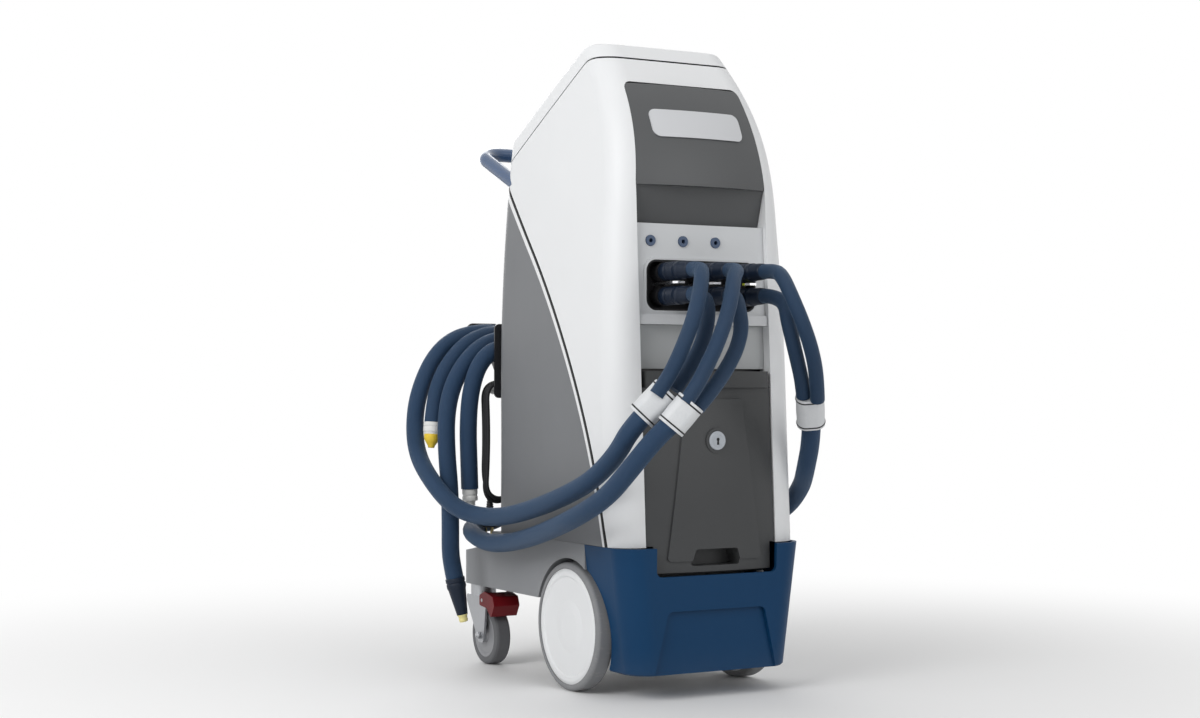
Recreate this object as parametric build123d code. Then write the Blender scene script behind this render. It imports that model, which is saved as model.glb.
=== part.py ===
"""Patient warming system: a wheeled tower that warms water and sends it through three twin hoses.

Millimetres. The origin is on the floor, under the middle of the object. The front faces -Y,
up is +Z, and the object's own left side, as seen from the front, is -X.
"""

import math
import os

from build123d import *

os.makedirs("parts", exist_ok=True)

# Tower: outer form of the moulded body
body_half_width = 168.0
body_base_z = 235.5
body_foot_front_y = -272.0
body_rear_y = 156.0
body_corner_radius = 42.0
body_wall = 3.5
front_lean = 0.055  # how far the front leans back for each mm of height
nose_z = 800.0  # above this the front leans back much more
nose_rate = 0.00205
taper_z = 500.0  # above this the sides draw in
taper_rate = 37.0 / 500.0**2
form_levels = (235.5, 330.0, 440.0, 540.0, 640.0, 730.0, 810.0, 880.0, 940.0, 1000.0, 1045.0)
seam_gap = 0.4  # between neighbouring mouldings

# Top cap, its seam and the screen
cap_slope = 31.0  # degrees, down towards the rear
seam_front_z = 1003.0
seam_crest_y = -113.0
cap_shadow = 3.0  # height of the dark gap under the cap
cap_front_height = 27.0
cap_crest_y = -89.0
cap_edge_radius = 12.0
cap_crest_radius = 70.0
display_centre_y = 24.0
display_width = 236.0
display_length = 172.0
display_depth = 10.0
display_border = 6.0
glass_thickness = 1.2

# Side trim: a straight run and an arc, seen from the side
trim_top = (156.0, 852.0)
trim_knee = (19.0, 706.0)
trim_foot = (-248.0, 190.0)
trim_seal_width = 2.6
trim_strip_width = 12.0
trim_seal_sink = 1.6

# Front recess
recess_half_width = 119.5
recess_top_half_width = 106.0
recess_top_z = 962.0
recess_rim = 4.0
recess_rim_depth = 30.0

# Fascia over the ports
fascia_top_z = 959.0
fascia_lip_z = 794.0
fascia_bulge = 17.0
fascia_depth = 38.0
badge_width = 165.0
badge_height = 45.0
badge_thickness = 2.5
badge_z = 893.0

# Port panel and its well
port_panel_top_z = 735.0
port_panel_foot_z = 578.0
port_panel_sink = 9.0
panel_wall = 4.0
port_panel_depth = 38.0
well_half_width = 101.0
well_foot_z = 600.0
well_top_z = 678.0
well_corner = 17.0
well_rim = 4.0
port_pitch = 66.0
port_rows_z = (622.0, 660.0)
socket_radius = 15.5
socket_length = 22.0
socket_bore = 12.0
jack_x = (-91.0, -32.0, 28.0)
jack_z = 708.0
jack_radius = 8.5
jack_bore = 3.25
jack_depth = 16.0
release_z = 641.75
release_height = 3.5
release_width = 22.0
release_travel = 2.0
release_front_y = -288.0

# Lower panel and reservoir
lower_panel_foot_z = 509.4
reservoir_top_z = 505.5
reservoir_foot_z = 195.5
reservoir_step_z = 237.0
reservoir_half_width = 118.0
reservoir_foot_half_width = 107.0
reservoir_bulge = 20.0
grip_foot_z = 480.0
tank_half_width = 103.0
tank_length = 170.0
tank_height = 270.0
tank_wall = 3.0
lid_thickness = 8.0
latch_z = 398.0
latch_button_radius = 14.5
latch_ring_radius = 19.5
latch_button_travel = 4.0

# Chassis
rail_width = 26.0
rail_height = 36.0
rail_centre_x = 104.0
rail_top_z = 188.0
rail_front_y = -222.0
rail_rear_y = 268.0
rail_wall = 2.5
frame_sheet = 3.0
frame_plate_x = 123.5  # inner face of each side plate of the inner frame
mid_shelf_z = 509.0
upper_shelf_z = 700.0
bay_rear_y = -62.0
bulkhead_depth = 38.0

# Main wheels
wheel_radius = 101.5
wheel_width = 30.0
wheel_inner_x = 139.5
wheel_y = -111.0
tyre_depth = 10.0
axle_radius = 8.0
axle_reach = 160.0
running_gap = 0.05
arch_radius = 108.5
arch_inner_x = 134.0
arch_wall = 3.5

# Casters
caster_x = 137.0
caster_y = 224.0
caster_trail = 30.0
caster_wheel_radius = 50.0
caster_wheel_width = 28.0
caster_tyre_depth = 12.0
caster_top_z = 137.0
caster_pin_radius = 6.0
stem_radius = 8.0
fork_wall = 4.0
fork_gap = 3.0
pedal_pivot_y = 212.0
pedal_pivot_z = 112.0
pedal_pin_radius = 3.0

# Bumper and base cover
bumper_foot_z = 40.0
bumper_top_z = 235.0
bumper_front_y = -289.0
bumper_foot_half_width = 144.0
bumper_top_half_width = 168.0
bumper_rear_y = -165.0
bumper_wall = 6.0
bumper_corner = 42.0
sunk_depth = 9.0
sunk_top_z = 137.0
sunk_top_half_width = 88.0
sunk_foot_half_width = 116.0
notch_half_width = 110.0
notch_z = 190.5
notch_corner = 10.0
cover_half_width = 167.0
cover_foot_z = 138.0
cover_rear_y = 289.0
cover_wall = 4.0
cover_opening_half_width = 127.0

# Handle and hose hook
handle_x = 140.0
handle_tube = 24.0
handle_root_y = 96.0
handle_root_z = 812.6
handle_rise = 24.0  # degrees
handle_rear_y = 271.0
handle_corner = 45.0
hook_left_x = -152.0
hook_right_x = -92.0
hook_wire = 6.0
hook_root_z = 515.4
hook_end_z = 559.2
hook_tip_z = 590.0
hook_tip_y = 285.8
hook_plate = 3.0
hook_corner = 9.0
hook_brace_foot_z = 484.0
hook_brace_y = 192.0
peg_z = 475.7
peg_radius = 8.0
peg_end_y = 196.0

# Refrigeration and water parts
compressor_radius = 62.0
compressor_height = 168.0
compressor_y = 4.0
condenser_size = (196.0, 34.0, 196.0)
condenser_z = 350.0
fin_count = 16
shroud_size = (212.0, 32.0, 212.0)
fan_radius = 84.0
fan_hub_radius = 26.0
blade_count = 7
louvre_count = 9
inlet_x = 88.0
inlet_z = 600.0
inlet_width = 58.0
inlet_height = 30.0
inlet_flange = 3.0
rocker_width = 14.4
rocker_pivot_y = 152.0
rocker_pin_radius = 1.5

# Hoses: a twin hose is one round tube as wide as its two hoses, which part before their ports
hose_width = 30.0
branch_width = 23.0
connector_radius = 14.5
connector_front_y = -318.0
connector_spigot = 16.0
label_width = 50.0
label_depth = 28.0
pair_pitch = 23.8
hose_lead = 36.0  # straight run before and after a label
cord_share = 0.45  # of the shorter run beside a corner, up to where its arc starts
cord_gap = 0.3

# Power cord: its hank hangs on the hook's peg
cord_width = 7.0
hank_x = -147.4
hank_y = 164.5
hank_top_z = 488.0
hank_half_width = 25.4
hank_pitch = 8.0
hank_feet = (280.0, 290.0, 284.0)
hank_side_runs = 5
hank_waist = 3.0  # how far each side draws in at half height
hank_corner_turn = math.radians(45.0)
hank_corner_turns = [hank_corner_turn * (number + 0.5) for number in range(4)]
plug_x = -158.0
plug_y = 187.0
plug_top_z = 272.0
plug_radius = 12.5
plug_length = 32.0
plug_pin_length = 17.0

# Appliance connector of the power cord: its nose has a hole for each of the inlet's pins
connector_half = (15.0, 11.0)
connector_nose_half = (13.0, 9.3)
connector_nose_length = 14.5
connector_body_length = 31.0
connector_length = 46.0
inlet_pins = ((-19.0, 2.5), (-5.5, 2.5), (-12.25, -3.5))
inlet_pin_half = (1.0, 2.0)


def box(x_low, x_high, y_low, y_high, z_low, z_high):
    """A block between two corners."""
    size = (x_high - x_low, y_high - y_low, z_high - z_low)
    return Pos((x_low + x_high) / 2, (y_low + y_high) / 2, (z_low + z_high) / 2) * Box(*size)


def rod(radius, start, end):
    """A round bar from one point to another."""
    line = Vector(*end) - Vector(*start)
    plane = Plane(origin=start, z_dir=line.normalized())
    return extrude(plane * Circle(radius), line.length)


def side_sheet(points):
    """A flat face in the YZ plane from (y, z) points."""
    return Plane.YZ * make_face(Polyline(points, close=True))


def side_block(points, x_low, x_high):
    """A side outline, (y, z), drawn out along X."""
    return Pos(x_low, 0, 0) * extrude(side_sheet(points), x_high - x_low)


def front_block(sketch, y_front, y_rear):
    """A front outline in X and Z, drawn out along Y."""
    return extrude(Plane.XZ.offset(-y_rear) * sketch, y_rear - y_front)


def mirrored(shape):
    """The same piece on the right-hand side."""
    return mirror(shape, Plane.YZ)


def front_y(z):
    """Where the body's front face is at a height."""
    lean = front_lean * (z - body_base_z)
    nose = nose_rate * max(0.0, z - nose_z) ** 2
    return body_foot_front_y + lean + nose


def half_width(z):
    """Half of the body's width at a height."""
    return body_half_width - taper_rate * max(0.0, z - taper_z) ** 2


def tower_form(inset):
    """The body's outer form, drawn in by a distance."""
    sections = []
    for z in form_levels:
        front, rear = front_y(z) + inset, body_rear_y - inset
        width = 2 * (half_width(z) - inset)
        outline = RectangleRounded(width, rear - front, body_corner_radius - inset)
        sections.append(Pos(0, (front + rear) / 2, z) * outline)
    return loft(sections)


far = 400.0  # further out than any face of the body


def below_line(crest_y, crest_z, crest_radius):
    """All that lies under a level run and the slope behind it, with a rounded crest."""
    drop = math.tan(math.radians(cap_slope))
    points = [
        (-far, 0.0), (-far, crest_z), (crest_y, crest_z),
        (far, crest_z - drop * (far - crest_y)), (far, 0.0),
    ]
    face = make_face(Polyline(points, close=True))
    crest = face.vertices().sort_by_distance((crest_y, crest_z))[0]
    return extrude(Plane.YZ * fillet(crest, crest_radius), far, both=True)


def behind_trim(shift):
    """All that lies behind the trim line, moved to the rear by a distance."""
    rise = (trim_top[0] - trim_knee[0], trim_top[1] - trim_knee[1])
    top = (trim_knee[0] + 2 * rise[0], trim_knee[1] + 2 * rise[1])
    straight = Line(top, trim_knee)
    curve = TangentArc(trim_knee, trim_foot, tangent=(-rise[0], -rise[1]))
    foot = Polyline(trim_foot, (trim_foot[0], 0.0), (far, 0.0), (far, top[1]), top)
    face = make_face([straight, curve, foot])
    if shift:
        face = offset(face, amount=-shift, kind=Kind.INTERSECTION)
    return extrude(Plane.YZ * face, far, both=True)


def near_front(depth):
    """All that lies less than a depth behind the body's front."""
    face = [(front_y(z) + depth, z) for z in form_levels]
    return side_block([(-far, face[0][1]), *face, (-far, face[-1][1])], -far, far)


def recess_outline(grow):
    """The front recess seen from the front."""
    points = [
        (-recess_half_width - grow, 150.0), (-recess_half_width - grow, nose_z),
        (-recess_top_half_width - grow, recess_top_z + grow),
        (recess_top_half_width + grow, recess_top_z + grow),
        (recess_half_width + grow, nose_z), (recess_half_width + grow, 150.0),
    ]
    face = make_face(Polyline(points, close=True))
    corners = face.vertices().group_by(Axis.Y)[-1]
    return fillet(corners, 14.0 + grow)


def bowed_block(levels, half, front, bow, rear):
    """A block whose front bows forward in the middle; each argument is a function of height."""
    sections = []
    for z in levels:
        left, right = (-half(z), front(z)), (half(z), front(z))
        arc = ThreePointArc(left, (0.0, front(z) - bow(z)), right)
        back = Polyline(right, (half(z), rear(z)), (-half(z), rear(z)), left)
        sections.append(Pos(0, 0, z) * make_face([arc, back]))
    return loft(sections)


def save(name, shape):
    """Writes one node's STEP file."""
    shape.label = name
    export_step(shape, f"parts/{name}.step")


# Body shells
outer = tower_form(0.0)
shell = outer - tower_form(body_wall)
under_seam = below_line(seam_crest_y, seam_front_z, cap_crest_radius)
over_seam = below_line(seam_crest_y, seam_front_z + cap_shadow, cap_crest_radius)
trim_side = behind_trim(0.0)
trim_seal_edge = behind_trim(trim_seal_width)
trim_strip_edge = behind_trim(trim_seal_width + trim_strip_width)
panel_edge = behind_trim(trim_seal_width + trim_strip_width + seam_gap)
left_half = box(-far, 0.0, -far, far, 0.0, 1200.0)
rear_flat_half = body_half_width - body_corner_radius
rear_gap = box(-rear_flat_half - seam_gap, far, 100.0, far, 0.0, 1200.0)
handle_slope = math.tan(math.radians(handle_rise))
handle_end_z = handle_root_z + (handle_rear_y - handle_root_y) * handle_slope


def handle_path():
    """The push handle's centre line."""
    points = [
        (-handle_x, handle_root_y, handle_root_z), (-handle_x, handle_rear_y, handle_end_z),
        (handle_x, handle_rear_y, handle_end_z), (handle_x, handle_root_y, handle_root_z),
    ]
    return FilletPolyline(*points, radius=handle_corner)


def handle_holes():
    """Clearance for the handle's two arms where they leave the body."""
    radius = handle_tube / 2 + 0.6
    arm = rod(
        radius, (-handle_x, handle_root_y - 10, handle_root_z - 10 * handle_slope),
        (-handle_x, handle_rear_y, handle_end_z),
    )
    return arm + mirrored(arm)


def make_front_housing():
    """White shell: both front sides and the bridge over the fascia, with the recess rim."""
    front_cut = front_block(recess_outline(0.0), -far, -60.0)
    rim_band = front_block(recess_outline(recess_rim), -far, -60.0) - front_cut
    rim = outer & rim_band & near_front(recess_rim_depth)
    body = (shell & under_seam) - trim_side - front_cut
    rear_opening = box(-rear_flat_half - seam_gap, rear_flat_half + seam_gap, 100.0, far, 0.0, 1200.0)
    return body + (rim & under_seam) - handle_holes() - rear_opening


def trim_band(skin, inner_edge, outer_edge):
    """A band of the body's wall beside the trim line, on the left."""
    band = (skin & under_seam & inner_edge) - outer_edge
    return (band & left_half) - rear_gap - handle_holes()


def make_trim_strip():
    """White strip beside the trim line, with a sunk lip under the dark joint in front of it."""
    sunk = tower_form(trim_seal_sink) - tower_form(body_wall)
    lip = trim_band(sunk, trim_side, trim_seal_edge)
    return lip + trim_band(shell, trim_seal_edge, trim_strip_edge)


def make_side_panel():
    """Grey panel behind the trim strip, on the left, round the rear corner."""
    panel = (shell & under_seam & panel_edge & left_half) - rear_gap
    return panel - handle_holes()


def make_louvres(half, frame):
    """Sloping louvre blades across the rear window."""
    pitch = 2 * half / louvre_count
    blades = []
    for row in range(louvre_count):
        z = condenser_z - half + (row + 0.2) * pitch
        blades.append(side_block(
            [
                (body_rear_y - body_wall, z + pitch * 0.62), (body_rear_y - body_wall, z + pitch * 0.4),
                (body_rear_y, z), (body_rear_y, z + pitch * 0.22),
            ],
            -half - frame, half + frame,
        ))
    return blades


def make_rear_panel():
    """Grey rear panel with the louvres over the fan and the inlet's opening."""
    band = box(-rear_flat_half, rear_flat_half, 140.0, far, 0.0, 1200.0)
    panel = (shell & under_seam) & band
    half = shroud_size[0] / 2 - 16.0
    panel -= box(-half, half, 140.0, far, condenser_z - half, condenser_z + half)
    for blade in make_louvres(half, 0.5):
        panel += blade
    inlet = box(
        inlet_x - inlet_width / 2, inlet_x + inlet_width / 2, 140.0, far,
        inlet_z - inlet_height / 2, inlet_z + inlet_height / 2,
    )
    return panel - inlet - handle_holes()


front_housing = make_front_housing()
save("front_housing", front_housing)
trim_strip = make_trim_strip()
side_panel = make_side_panel()
for piece_name, piece in (("trim_strip", trim_strip), ("side_panel", side_panel)):
    save(f"{piece_name}_left", piece)
    save(f"{piece_name}_right", mirrored(piece))
save("rear_panel", make_rear_panel())


# Top cap and screen
cap_top_z = seam_front_z + cap_front_height
slope_angle = math.radians(cap_slope)


def slope_z(y):
    """The height of the cap's sloping face."""
    return cap_top_z - math.tan(slope_angle) * (y - cap_crest_y)


display_plane = Plane(
    origin=(0, display_centre_y, slope_z(display_centre_y)),
    x_dir=(1, 0, 0), z_dir=(0, math.sin(slope_angle), math.cos(slope_angle)),
)


def display_block(width, length, corner, low, high):
    """A rounded block on the cap's slope, between two heights above it."""
    outline = RectangleRounded(width, length, corner)
    return extrude(display_plane.offset(low) * outline, high - low)


def make_top_cap():
    """White hollow cap with a rounded crest and upper edge, and the screen's opening."""
    solid = (outer & below_line(cap_crest_y, cap_top_z, cap_crest_radius)) - over_seam
    tops = [
        f for f in solid.faces()
        if f.geom_type in (GeomType.PLANE, GeomType.CYLINDER) and f.normal_at().Z > 0.5
    ]
    rim_edges = [e for e in solid.edges() if sum(e.is_same(x) for f in tops for x in f.edges()) == 1]
    solid = fillet(rim_edges, cap_edge_radius)
    hollow = tower_form(body_wall) & below_line(cap_crest_y, cap_top_z - body_wall, cap_crest_radius)
    pocket = display_block(
        display_width + seam_gap, display_length + seam_gap, 9.0, -display_depth - 5.0, 5.0
    )
    return solid - hollow - pocket


def make_cap_gasket():
    """Dark strip that fills the shadow gap under the cap."""
    band = over_seam - under_seam
    return (tower_form(3.0) - tower_form(12.0)) & band


def make_display():
    """The screen: glass bonded on a dark frame that stands a little proud of the cap."""
    frame = display_block(display_width, display_length, 9.0, -display_depth, 1.0)
    groove = display_block(
        display_width - 2 * display_border, display_length - 2 * display_border, 5.0,
        1.0 - glass_thickness, 5.0,
    )
    glass = display_block(
        display_width - 2 * display_border - 1.6, display_length - 2 * display_border - 1.6, 4.2,
        0.6 - glass_thickness, 0.7,
    )
    return frame - groove + glass


save("top_cap", make_top_cap())
save("cap_gasket", make_cap_gasket())
save("display", make_display())


# Front fascia, port panel and lower panel
panel_half = recess_half_width - 0.6


def recess_half(z):
    """Half of the recess's width at a height, less the fascia's gap."""
    share = max(0.0, z - nose_z) / (recess_top_z - nose_z)
    return panel_half - share * (recess_half_width - recess_top_half_width)


def fascia_bow(z):
    """How far the fascia's middle bows forward at a height."""
    share = (z - fascia_lip_z) / (fascia_top_z - fascia_lip_z)
    return fascia_bulge * (1.0 - 0.45 * share**2)


fascia_levels = (fascia_lip_z, 835.0, 876.0, 918.0, fascia_top_z)


def fascia_block(proud, side, rear):
    """The fascia's bowed form; proud moves its front out and side draws its flanks in."""
    return bowed_block(
        fascia_levels, lambda z: recess_half(z) - side, lambda z: front_y(z) + 1.0 - proud,
        fascia_bow, lambda z: front_y(z) + rear,
    )


def make_upper_fascia():
    """Dark bowed cover over the ports, hollow at the back, on a receding shelf."""
    body = fascia_block(0.0, 0.0, fascia_depth) & front_block(recess_outline(-0.6), -far, -60.0)
    hollow = fascia_block(-panel_wall, panel_wall, fascia_depth + 5.0)
    hollow &= box(-far, far, -far, 0.0, fascia_lip_z + panel_wall, fascia_top_z - 10.0)
    shelf_front = 24.0
    shelf = side_block(
        [
            (front_y(fascia_lip_z) + 4.0, fascia_lip_z),
            (front_y(port_panel_top_z) + shelf_front, port_panel_top_z + seam_gap),
            (front_y(port_panel_top_z) + fascia_depth, port_panel_top_z + seam_gap),
            (front_y(fascia_lip_z) + fascia_depth, fascia_lip_z),
        ],
        -panel_half, panel_half,
    )
    return body - hollow + shelf


def make_badge_plate():
    """Bare rounded plate that follows the fascia's bow."""
    outline = Pos(0, badge_z) * RectangleRounded(badge_width, badge_height, 12.0)
    layer = fascia_block(badge_thickness, 0.0, 20.0) - fascia_block(0.0, 0.0, 25.0)
    return layer & front_block(outline, -far, -60.0)


def panel_front(z):
    """Where the port panel's front face is at a height."""
    return front_y(z) + port_panel_sink


def leaning_block(z_low, z_high, front, rear, half):
    """A block between two heights whose faces lean with the body's front."""
    points = [
        (front_y(z_low) + front, z_low), (front_y(z_high) + front, z_high),
        (front_y(z_high) + rear, z_high), (front_y(z_low) + rear, z_low),
    ]
    return side_block(points, -half, half)


well_centre_z = (well_foot_z + well_top_z) / 2
well_size = (2 * well_half_width, well_top_z - well_foot_z)
well_back_y = front_y(well_foot_z) + port_panel_depth - 0.4
well_front_y = panel_front(well_centre_z) - 1.0


socket_y = well_back_y - panel_wall
release_places = (-port_pitch, 0.0, port_pitch)


def port_places():
    """The middle of each hose port, as (x, z)."""
    return [(port_pitch * column, z) for column in (-1, 0, 1) for z in port_rows_z]


def well_outline(grow):
    """The port well's rounded outline."""
    return Pos(0, well_centre_z) * RectangleRounded(
        well_size[0] + 2 * grow, well_size[1] + 2 * grow, well_corner + grow
    )


def make_port_panel():
    """Light panel with the jacks' seats, a rim round the well and a ledge at its foot."""
    panel = leaning_block(
        port_panel_foot_z, port_panel_top_z, port_panel_sink, port_panel_depth, panel_half
    )
    ledge = leaning_block(
        port_panel_foot_z, port_panel_foot_z + 16.0, port_panel_sink - 5.0, port_panel_sink, panel_half
    )
    hollow = leaning_block(
        port_panel_foot_z + panel_wall, port_panel_top_z - panel_wall,
        port_panel_sink + panel_wall, port_panel_depth + 5.0, panel_half - panel_wall,
    )
    rim = front_block(well_outline(well_rim), well_front_y - 1.0, well_front_y + 6.0)
    opening = front_block(well_outline(seam_gap), -far, 0.0)
    panel = panel - hollow + ledge + rim - opening
    seat_y = panel_front(jack_z) + 1.2
    for x in jack_x:
        panel -= Pos(x, 0, jack_z) * front_block(Circle(jack_radius + 0.3), -far, seat_y)
        panel -= Pos(x, 0, jack_z) * front_block(Circle(6.3), -far, 0.0)
    return panel


def make_port_well():
    """Black rounded cup with six round sockets on its floor."""
    cup = front_block(well_outline(0.0), well_front_y, well_back_y)
    inside = front_block(well_outline(-2.5), -far, socket_y)
    cup -= inside
    for x, z in port_places():
        cup += Pos(x, 0, z) * front_block(Circle(socket_radius), socket_y - socket_length, socket_y)
        cup -= Pos(x, 0, z) * front_block(Circle(socket_bore), -far, socket_y)
    for x in release_places:
        slot_half = release_width / 2 + 0.1
        cup -= box(
            x - slot_half, x + slot_half, socket_y - 1.0, far, release_z - release_height / 2 - release_travel,
            release_z + release_height / 2 + 0.1,
        )
    return cup


def make_release_latch(x):
    """Thin metal tongue between two sockets that frees their hose when it is pressed down."""
    half = release_width / 2
    plan = make_face(Polyline([
        (x - half, well_back_y - 0.3), (x - half, release_front_y + 8.0), (x - half + 5.0, release_front_y),
        (x + half - 5.0, release_front_y), (x + half, release_front_y + 8.0), (x + half, well_back_y - 0.3),
    ], close=True))
    return extrude(Plane.XY.offset(release_z - release_height / 2) * plan, release_height)


def make_probe_jacks():
    """Three round jacks with a blind bore for a temperature probe's plug."""
    seat_y = panel_front(jack_z) + 1.2
    jacks = []
    for x in jack_x:
        flange = front_block(Circle(jack_radius), seat_y - 3.4, seat_y)
        barrel = front_block(Circle(6.0), seat_y, seat_y + jack_depth)
        bore = front_block(Circle(jack_bore), -far, seat_y - 3.4 + jack_depth)
        jacks.append(Pos(x, 0, jack_z) * (flange + barrel - bore))
    return jacks


save("upper_fascia", make_upper_fascia())
save("badge_plate", make_badge_plate())
save("port_panel", make_port_panel())
save("port_well", make_port_well())
for number, place in enumerate(release_places, 1):
    save(f"release_latch_{number}", make_release_latch(place))
save("probe_jacks", Compound(children=make_probe_jacks()))
save("lower_panel", leaning_block(
    lower_panel_foot_z, port_panel_foot_z - seam_gap, 17.0, port_panel_depth, panel_half
))


# Water reservoir
reservoir_rear_y = -236.0
tank_foot_z = rail_top_z + frame_sheet + 0.3
tank_top_z = tank_foot_z + tank_height


def reservoir_bow(z):
    """How far the reservoir's middle bows forward at a height."""
    share = max(0.0, latch_z - 48.0 - z) / 160.0
    return reservoir_bulge * (1.0 - 0.55 * share**2)


def reservoir_block(proud, half, z_low, z_high):
    """The reservoir front's bowed form between two heights."""
    levels = [z_low + (z_high - z_low) * share for share in (0.0, 0.33, 0.67, 1.0)]
    return bowed_block(
        levels, lambda z: half, lambda z: front_y(z) + 2.0 - proud, reservoir_bow,
        lambda z: reservoir_rear_y,
    )


def make_reservoir_front():
    """Dark bowed front with a raised middle, a grip hollow and the latch's seat."""
    outline = make_face(Polyline([
        (-reservoir_foot_half_width, reservoir_foot_z), (-reservoir_foot_half_width, reservoir_step_z),
        (-reservoir_half_width, reservoir_step_z), (-reservoir_half_width, grip_foot_z),
        (reservoir_half_width, grip_foot_z), (reservoir_half_width, reservoir_step_z),
        (reservoir_foot_half_width, reservoir_step_z), (reservoir_foot_half_width, reservoir_foot_z),
    ], close=True))
    raised = fillet(make_face(Polyline([
        (-86.0, 213.0), (-60.0, 400.0), (-52.0, 462.0), (52.0, 462.0), (60.0, 400.0), (86.0, 213.0),
    ], close=True)).vertices(), 6.0)
    base = reservoir_block(0.0, reservoir_half_width, reservoir_foot_z, grip_foot_z)
    front = base & front_block(outline, -far, 0.0)
    front += reservoir_block(3.5, reservoir_half_width, reservoir_foot_z, grip_foot_z) & front_block(
        raised, -far, reservoir_rear_y
    )
    grip = fillet(make_face(Polyline([
        (-46.0, 205.0), (-38.0, 231.0), (38.0, 231.0), (46.0, 205.0),
    ], close=True)).vertices(), 5.0)
    front -= front_block(grip, -far, reservoir_rear_y - 14.0)
    front += Pos(0, 0, latch_z) * front_block(Circle(latch_ring_radius), latch_face_y - 2.0, latch_seat_y)
    bore = front_block(Circle(latch_button_radius + 0.3), -far, latch_seat_y - 2.0)
    return front - Pos(0, 0, latch_z) * bore


latch_face_y = front_y(latch_z) + 2.0 - 3.5 - reservoir_bulge
latch_seat_y = latch_face_y + 17.0


def make_latch_button():
    """Pale round button that frees the reservoir when it is pressed."""
    face_y = latch_face_y - 4.5
    button = front_block(Circle(latch_button_radius), face_y, latch_seat_y - 2.0 - latch_button_travel - 0.5)
    rim = button.edges().group_by(Axis.Y)[0]
    return Pos(0, 0, latch_z) * chamfer(rim, 1.0)


def make_reservoir_tank():
    """Open moulded water tank behind the front."""
    rear = reservoir_rear_y + tank_length
    block = box(-tank_half_width, tank_half_width, reservoir_rear_y, rear, tank_foot_z, tank_top_z)
    block = fillet(block.edges().filter_by(Axis.Z), 10.0)
    inside = box(
        -tank_half_width + tank_wall, tank_half_width - tank_wall, reservoir_rear_y + tank_wall,
        rear - tank_wall, tank_foot_z + tank_wall, tank_top_z + 10.0,
    )
    return block - fillet(inside.edges().filter_by(Axis.Z), 7.0)


def make_reservoir_lid():
    """Tank lid with a rim that drops inside the walls, and a round filling hole."""
    rear = reservoir_rear_y + tank_length
    top = box(
        -tank_half_width, tank_half_width, reservoir_rear_y, rear, tank_top_z, tank_top_z + lid_thickness
    )
    top = fillet(top.edges().filter_by(Axis.Z), 10.0)
    inner = tank_wall + 0.4
    skirt = box(
        -tank_half_width + inner, tank_half_width - inner, reservoir_rear_y + inner, rear - inner,
        tank_top_z - 6.0, tank_top_z,
    )
    skirt = fillet(skirt.edges().filter_by(Axis.Z), 6.6)
    hollow = box(
        -tank_half_width + 7.0, tank_half_width - 7.0, reservoir_rear_y + 7.0, rear - 7.0,
        tank_top_z - 10.0, tank_top_z + 2.0,
    )
    hole = Pos(0, (reservoir_rear_y + rear) / 2, 0) * Cylinder(24.0, 1200.0)
    return top + skirt - hollow - hole


save("reservoir_front", make_reservoir_front())
save("reservoir_grip", reservoir_block(6.0, 112.0, grip_foot_z, reservoir_top_z))
save("reservoir_latch_button", make_latch_button())
save("reservoir_tank", make_reservoir_tank())
save("reservoir_lid", make_reservoir_lid())


# Chassis
def square_tube(x_low, x_high, y_low, y_high, z_low, z_high, along):
    """A hollow steel tube with square corners, open at both ends of its length."""
    outside = box(x_low, x_high, y_low, y_high, z_low, z_high)
    grow = [-rail_wall, -rail_wall, -rail_wall]
    grow[along] = 1.0
    inside = box(
        x_low - grow[0], x_high + grow[0], y_low - grow[1], y_high + grow[1],
        z_low - grow[2], z_high + grow[2],
    )
    return outside - inside


stem_y = caster_y + caster_trail
rail_foot_z = rail_top_z - rail_height
rail_outer_x = rail_centre_x + rail_width / 2
rail_inner_x = rail_centre_x - rail_width / 2


def make_base_frame():
    """Welded base: two rails, three cross tubes, axle brackets and caster sockets."""
    rail = square_tube(
        -rail_outer_x, -rail_inner_x, rail_front_y, rail_rear_y, rail_foot_z, rail_top_z, 1
    )
    bracket = side_block(
        [
            (wheel_y - 34.0, rail_top_z - 4.0), (wheel_y - 14.0, wheel_radius - 14.0),
            (wheel_y + 14.0, wheel_radius - 14.0), (wheel_y + 34.0, rail_top_z - 4.0),
        ],
        -rail_outer_x - 4.0, -rail_outer_x,
    )
    plate = box(
        -caster_x - 17.0, -rail_inner_x, stem_y - 24.0, stem_y + 14.0, rail_foot_z - 5.0, rail_foot_z
    )
    boss = Pos(-caster_x, stem_y, 0) * extrude(
        Plane.XY.offset(caster_top_z + 1.5) * Circle(15.0), rail_foot_z - caster_top_z + 18.0
    )
    side = rail + bracket + (boss - rail) + (plate - rail)
    frame = side + mirrored(side)
    for y_low in (rail_front_y, -34.0, rail_rear_y - 28.0):
        frame += square_tube(
            -rail_inner_x, rail_inner_x, y_low, y_low + 28.0, rail_foot_z + 3.0, rail_top_z, 0
        )
    frame -= rod(axle_radius, (-far, wheel_y, wheel_radius), (far, wheel_y, wheel_radius))
    for x in (-caster_x, caster_x):
        frame -= Pos(x, stem_y, 150.0) * Cylinder(stem_radius + running_gap, 100.0)
    return frame


def make_axle():
    """Steel axle with a collar beside each wheel."""
    axle = rod(axle_radius, (-axle_reach, wheel_y, wheel_radius), (axle_reach, wheel_y, wheel_radius))
    for side in (-1, 1):
        axle += rod(
            13.0, (side * (rail_outer_x + 4.2), wheel_y, wheel_radius),
            (side * (wheel_inner_x - 0.3), wheel_y, wheel_radius),
        )
    return axle


def spun(profile):
    """A profile of (x, radius) points spun about the main axle's line."""
    face = make_face(Polyline(profile, close=True))
    return Pos(0, wheel_y, wheel_radius) * revolve(face, Axis.X)


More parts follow.
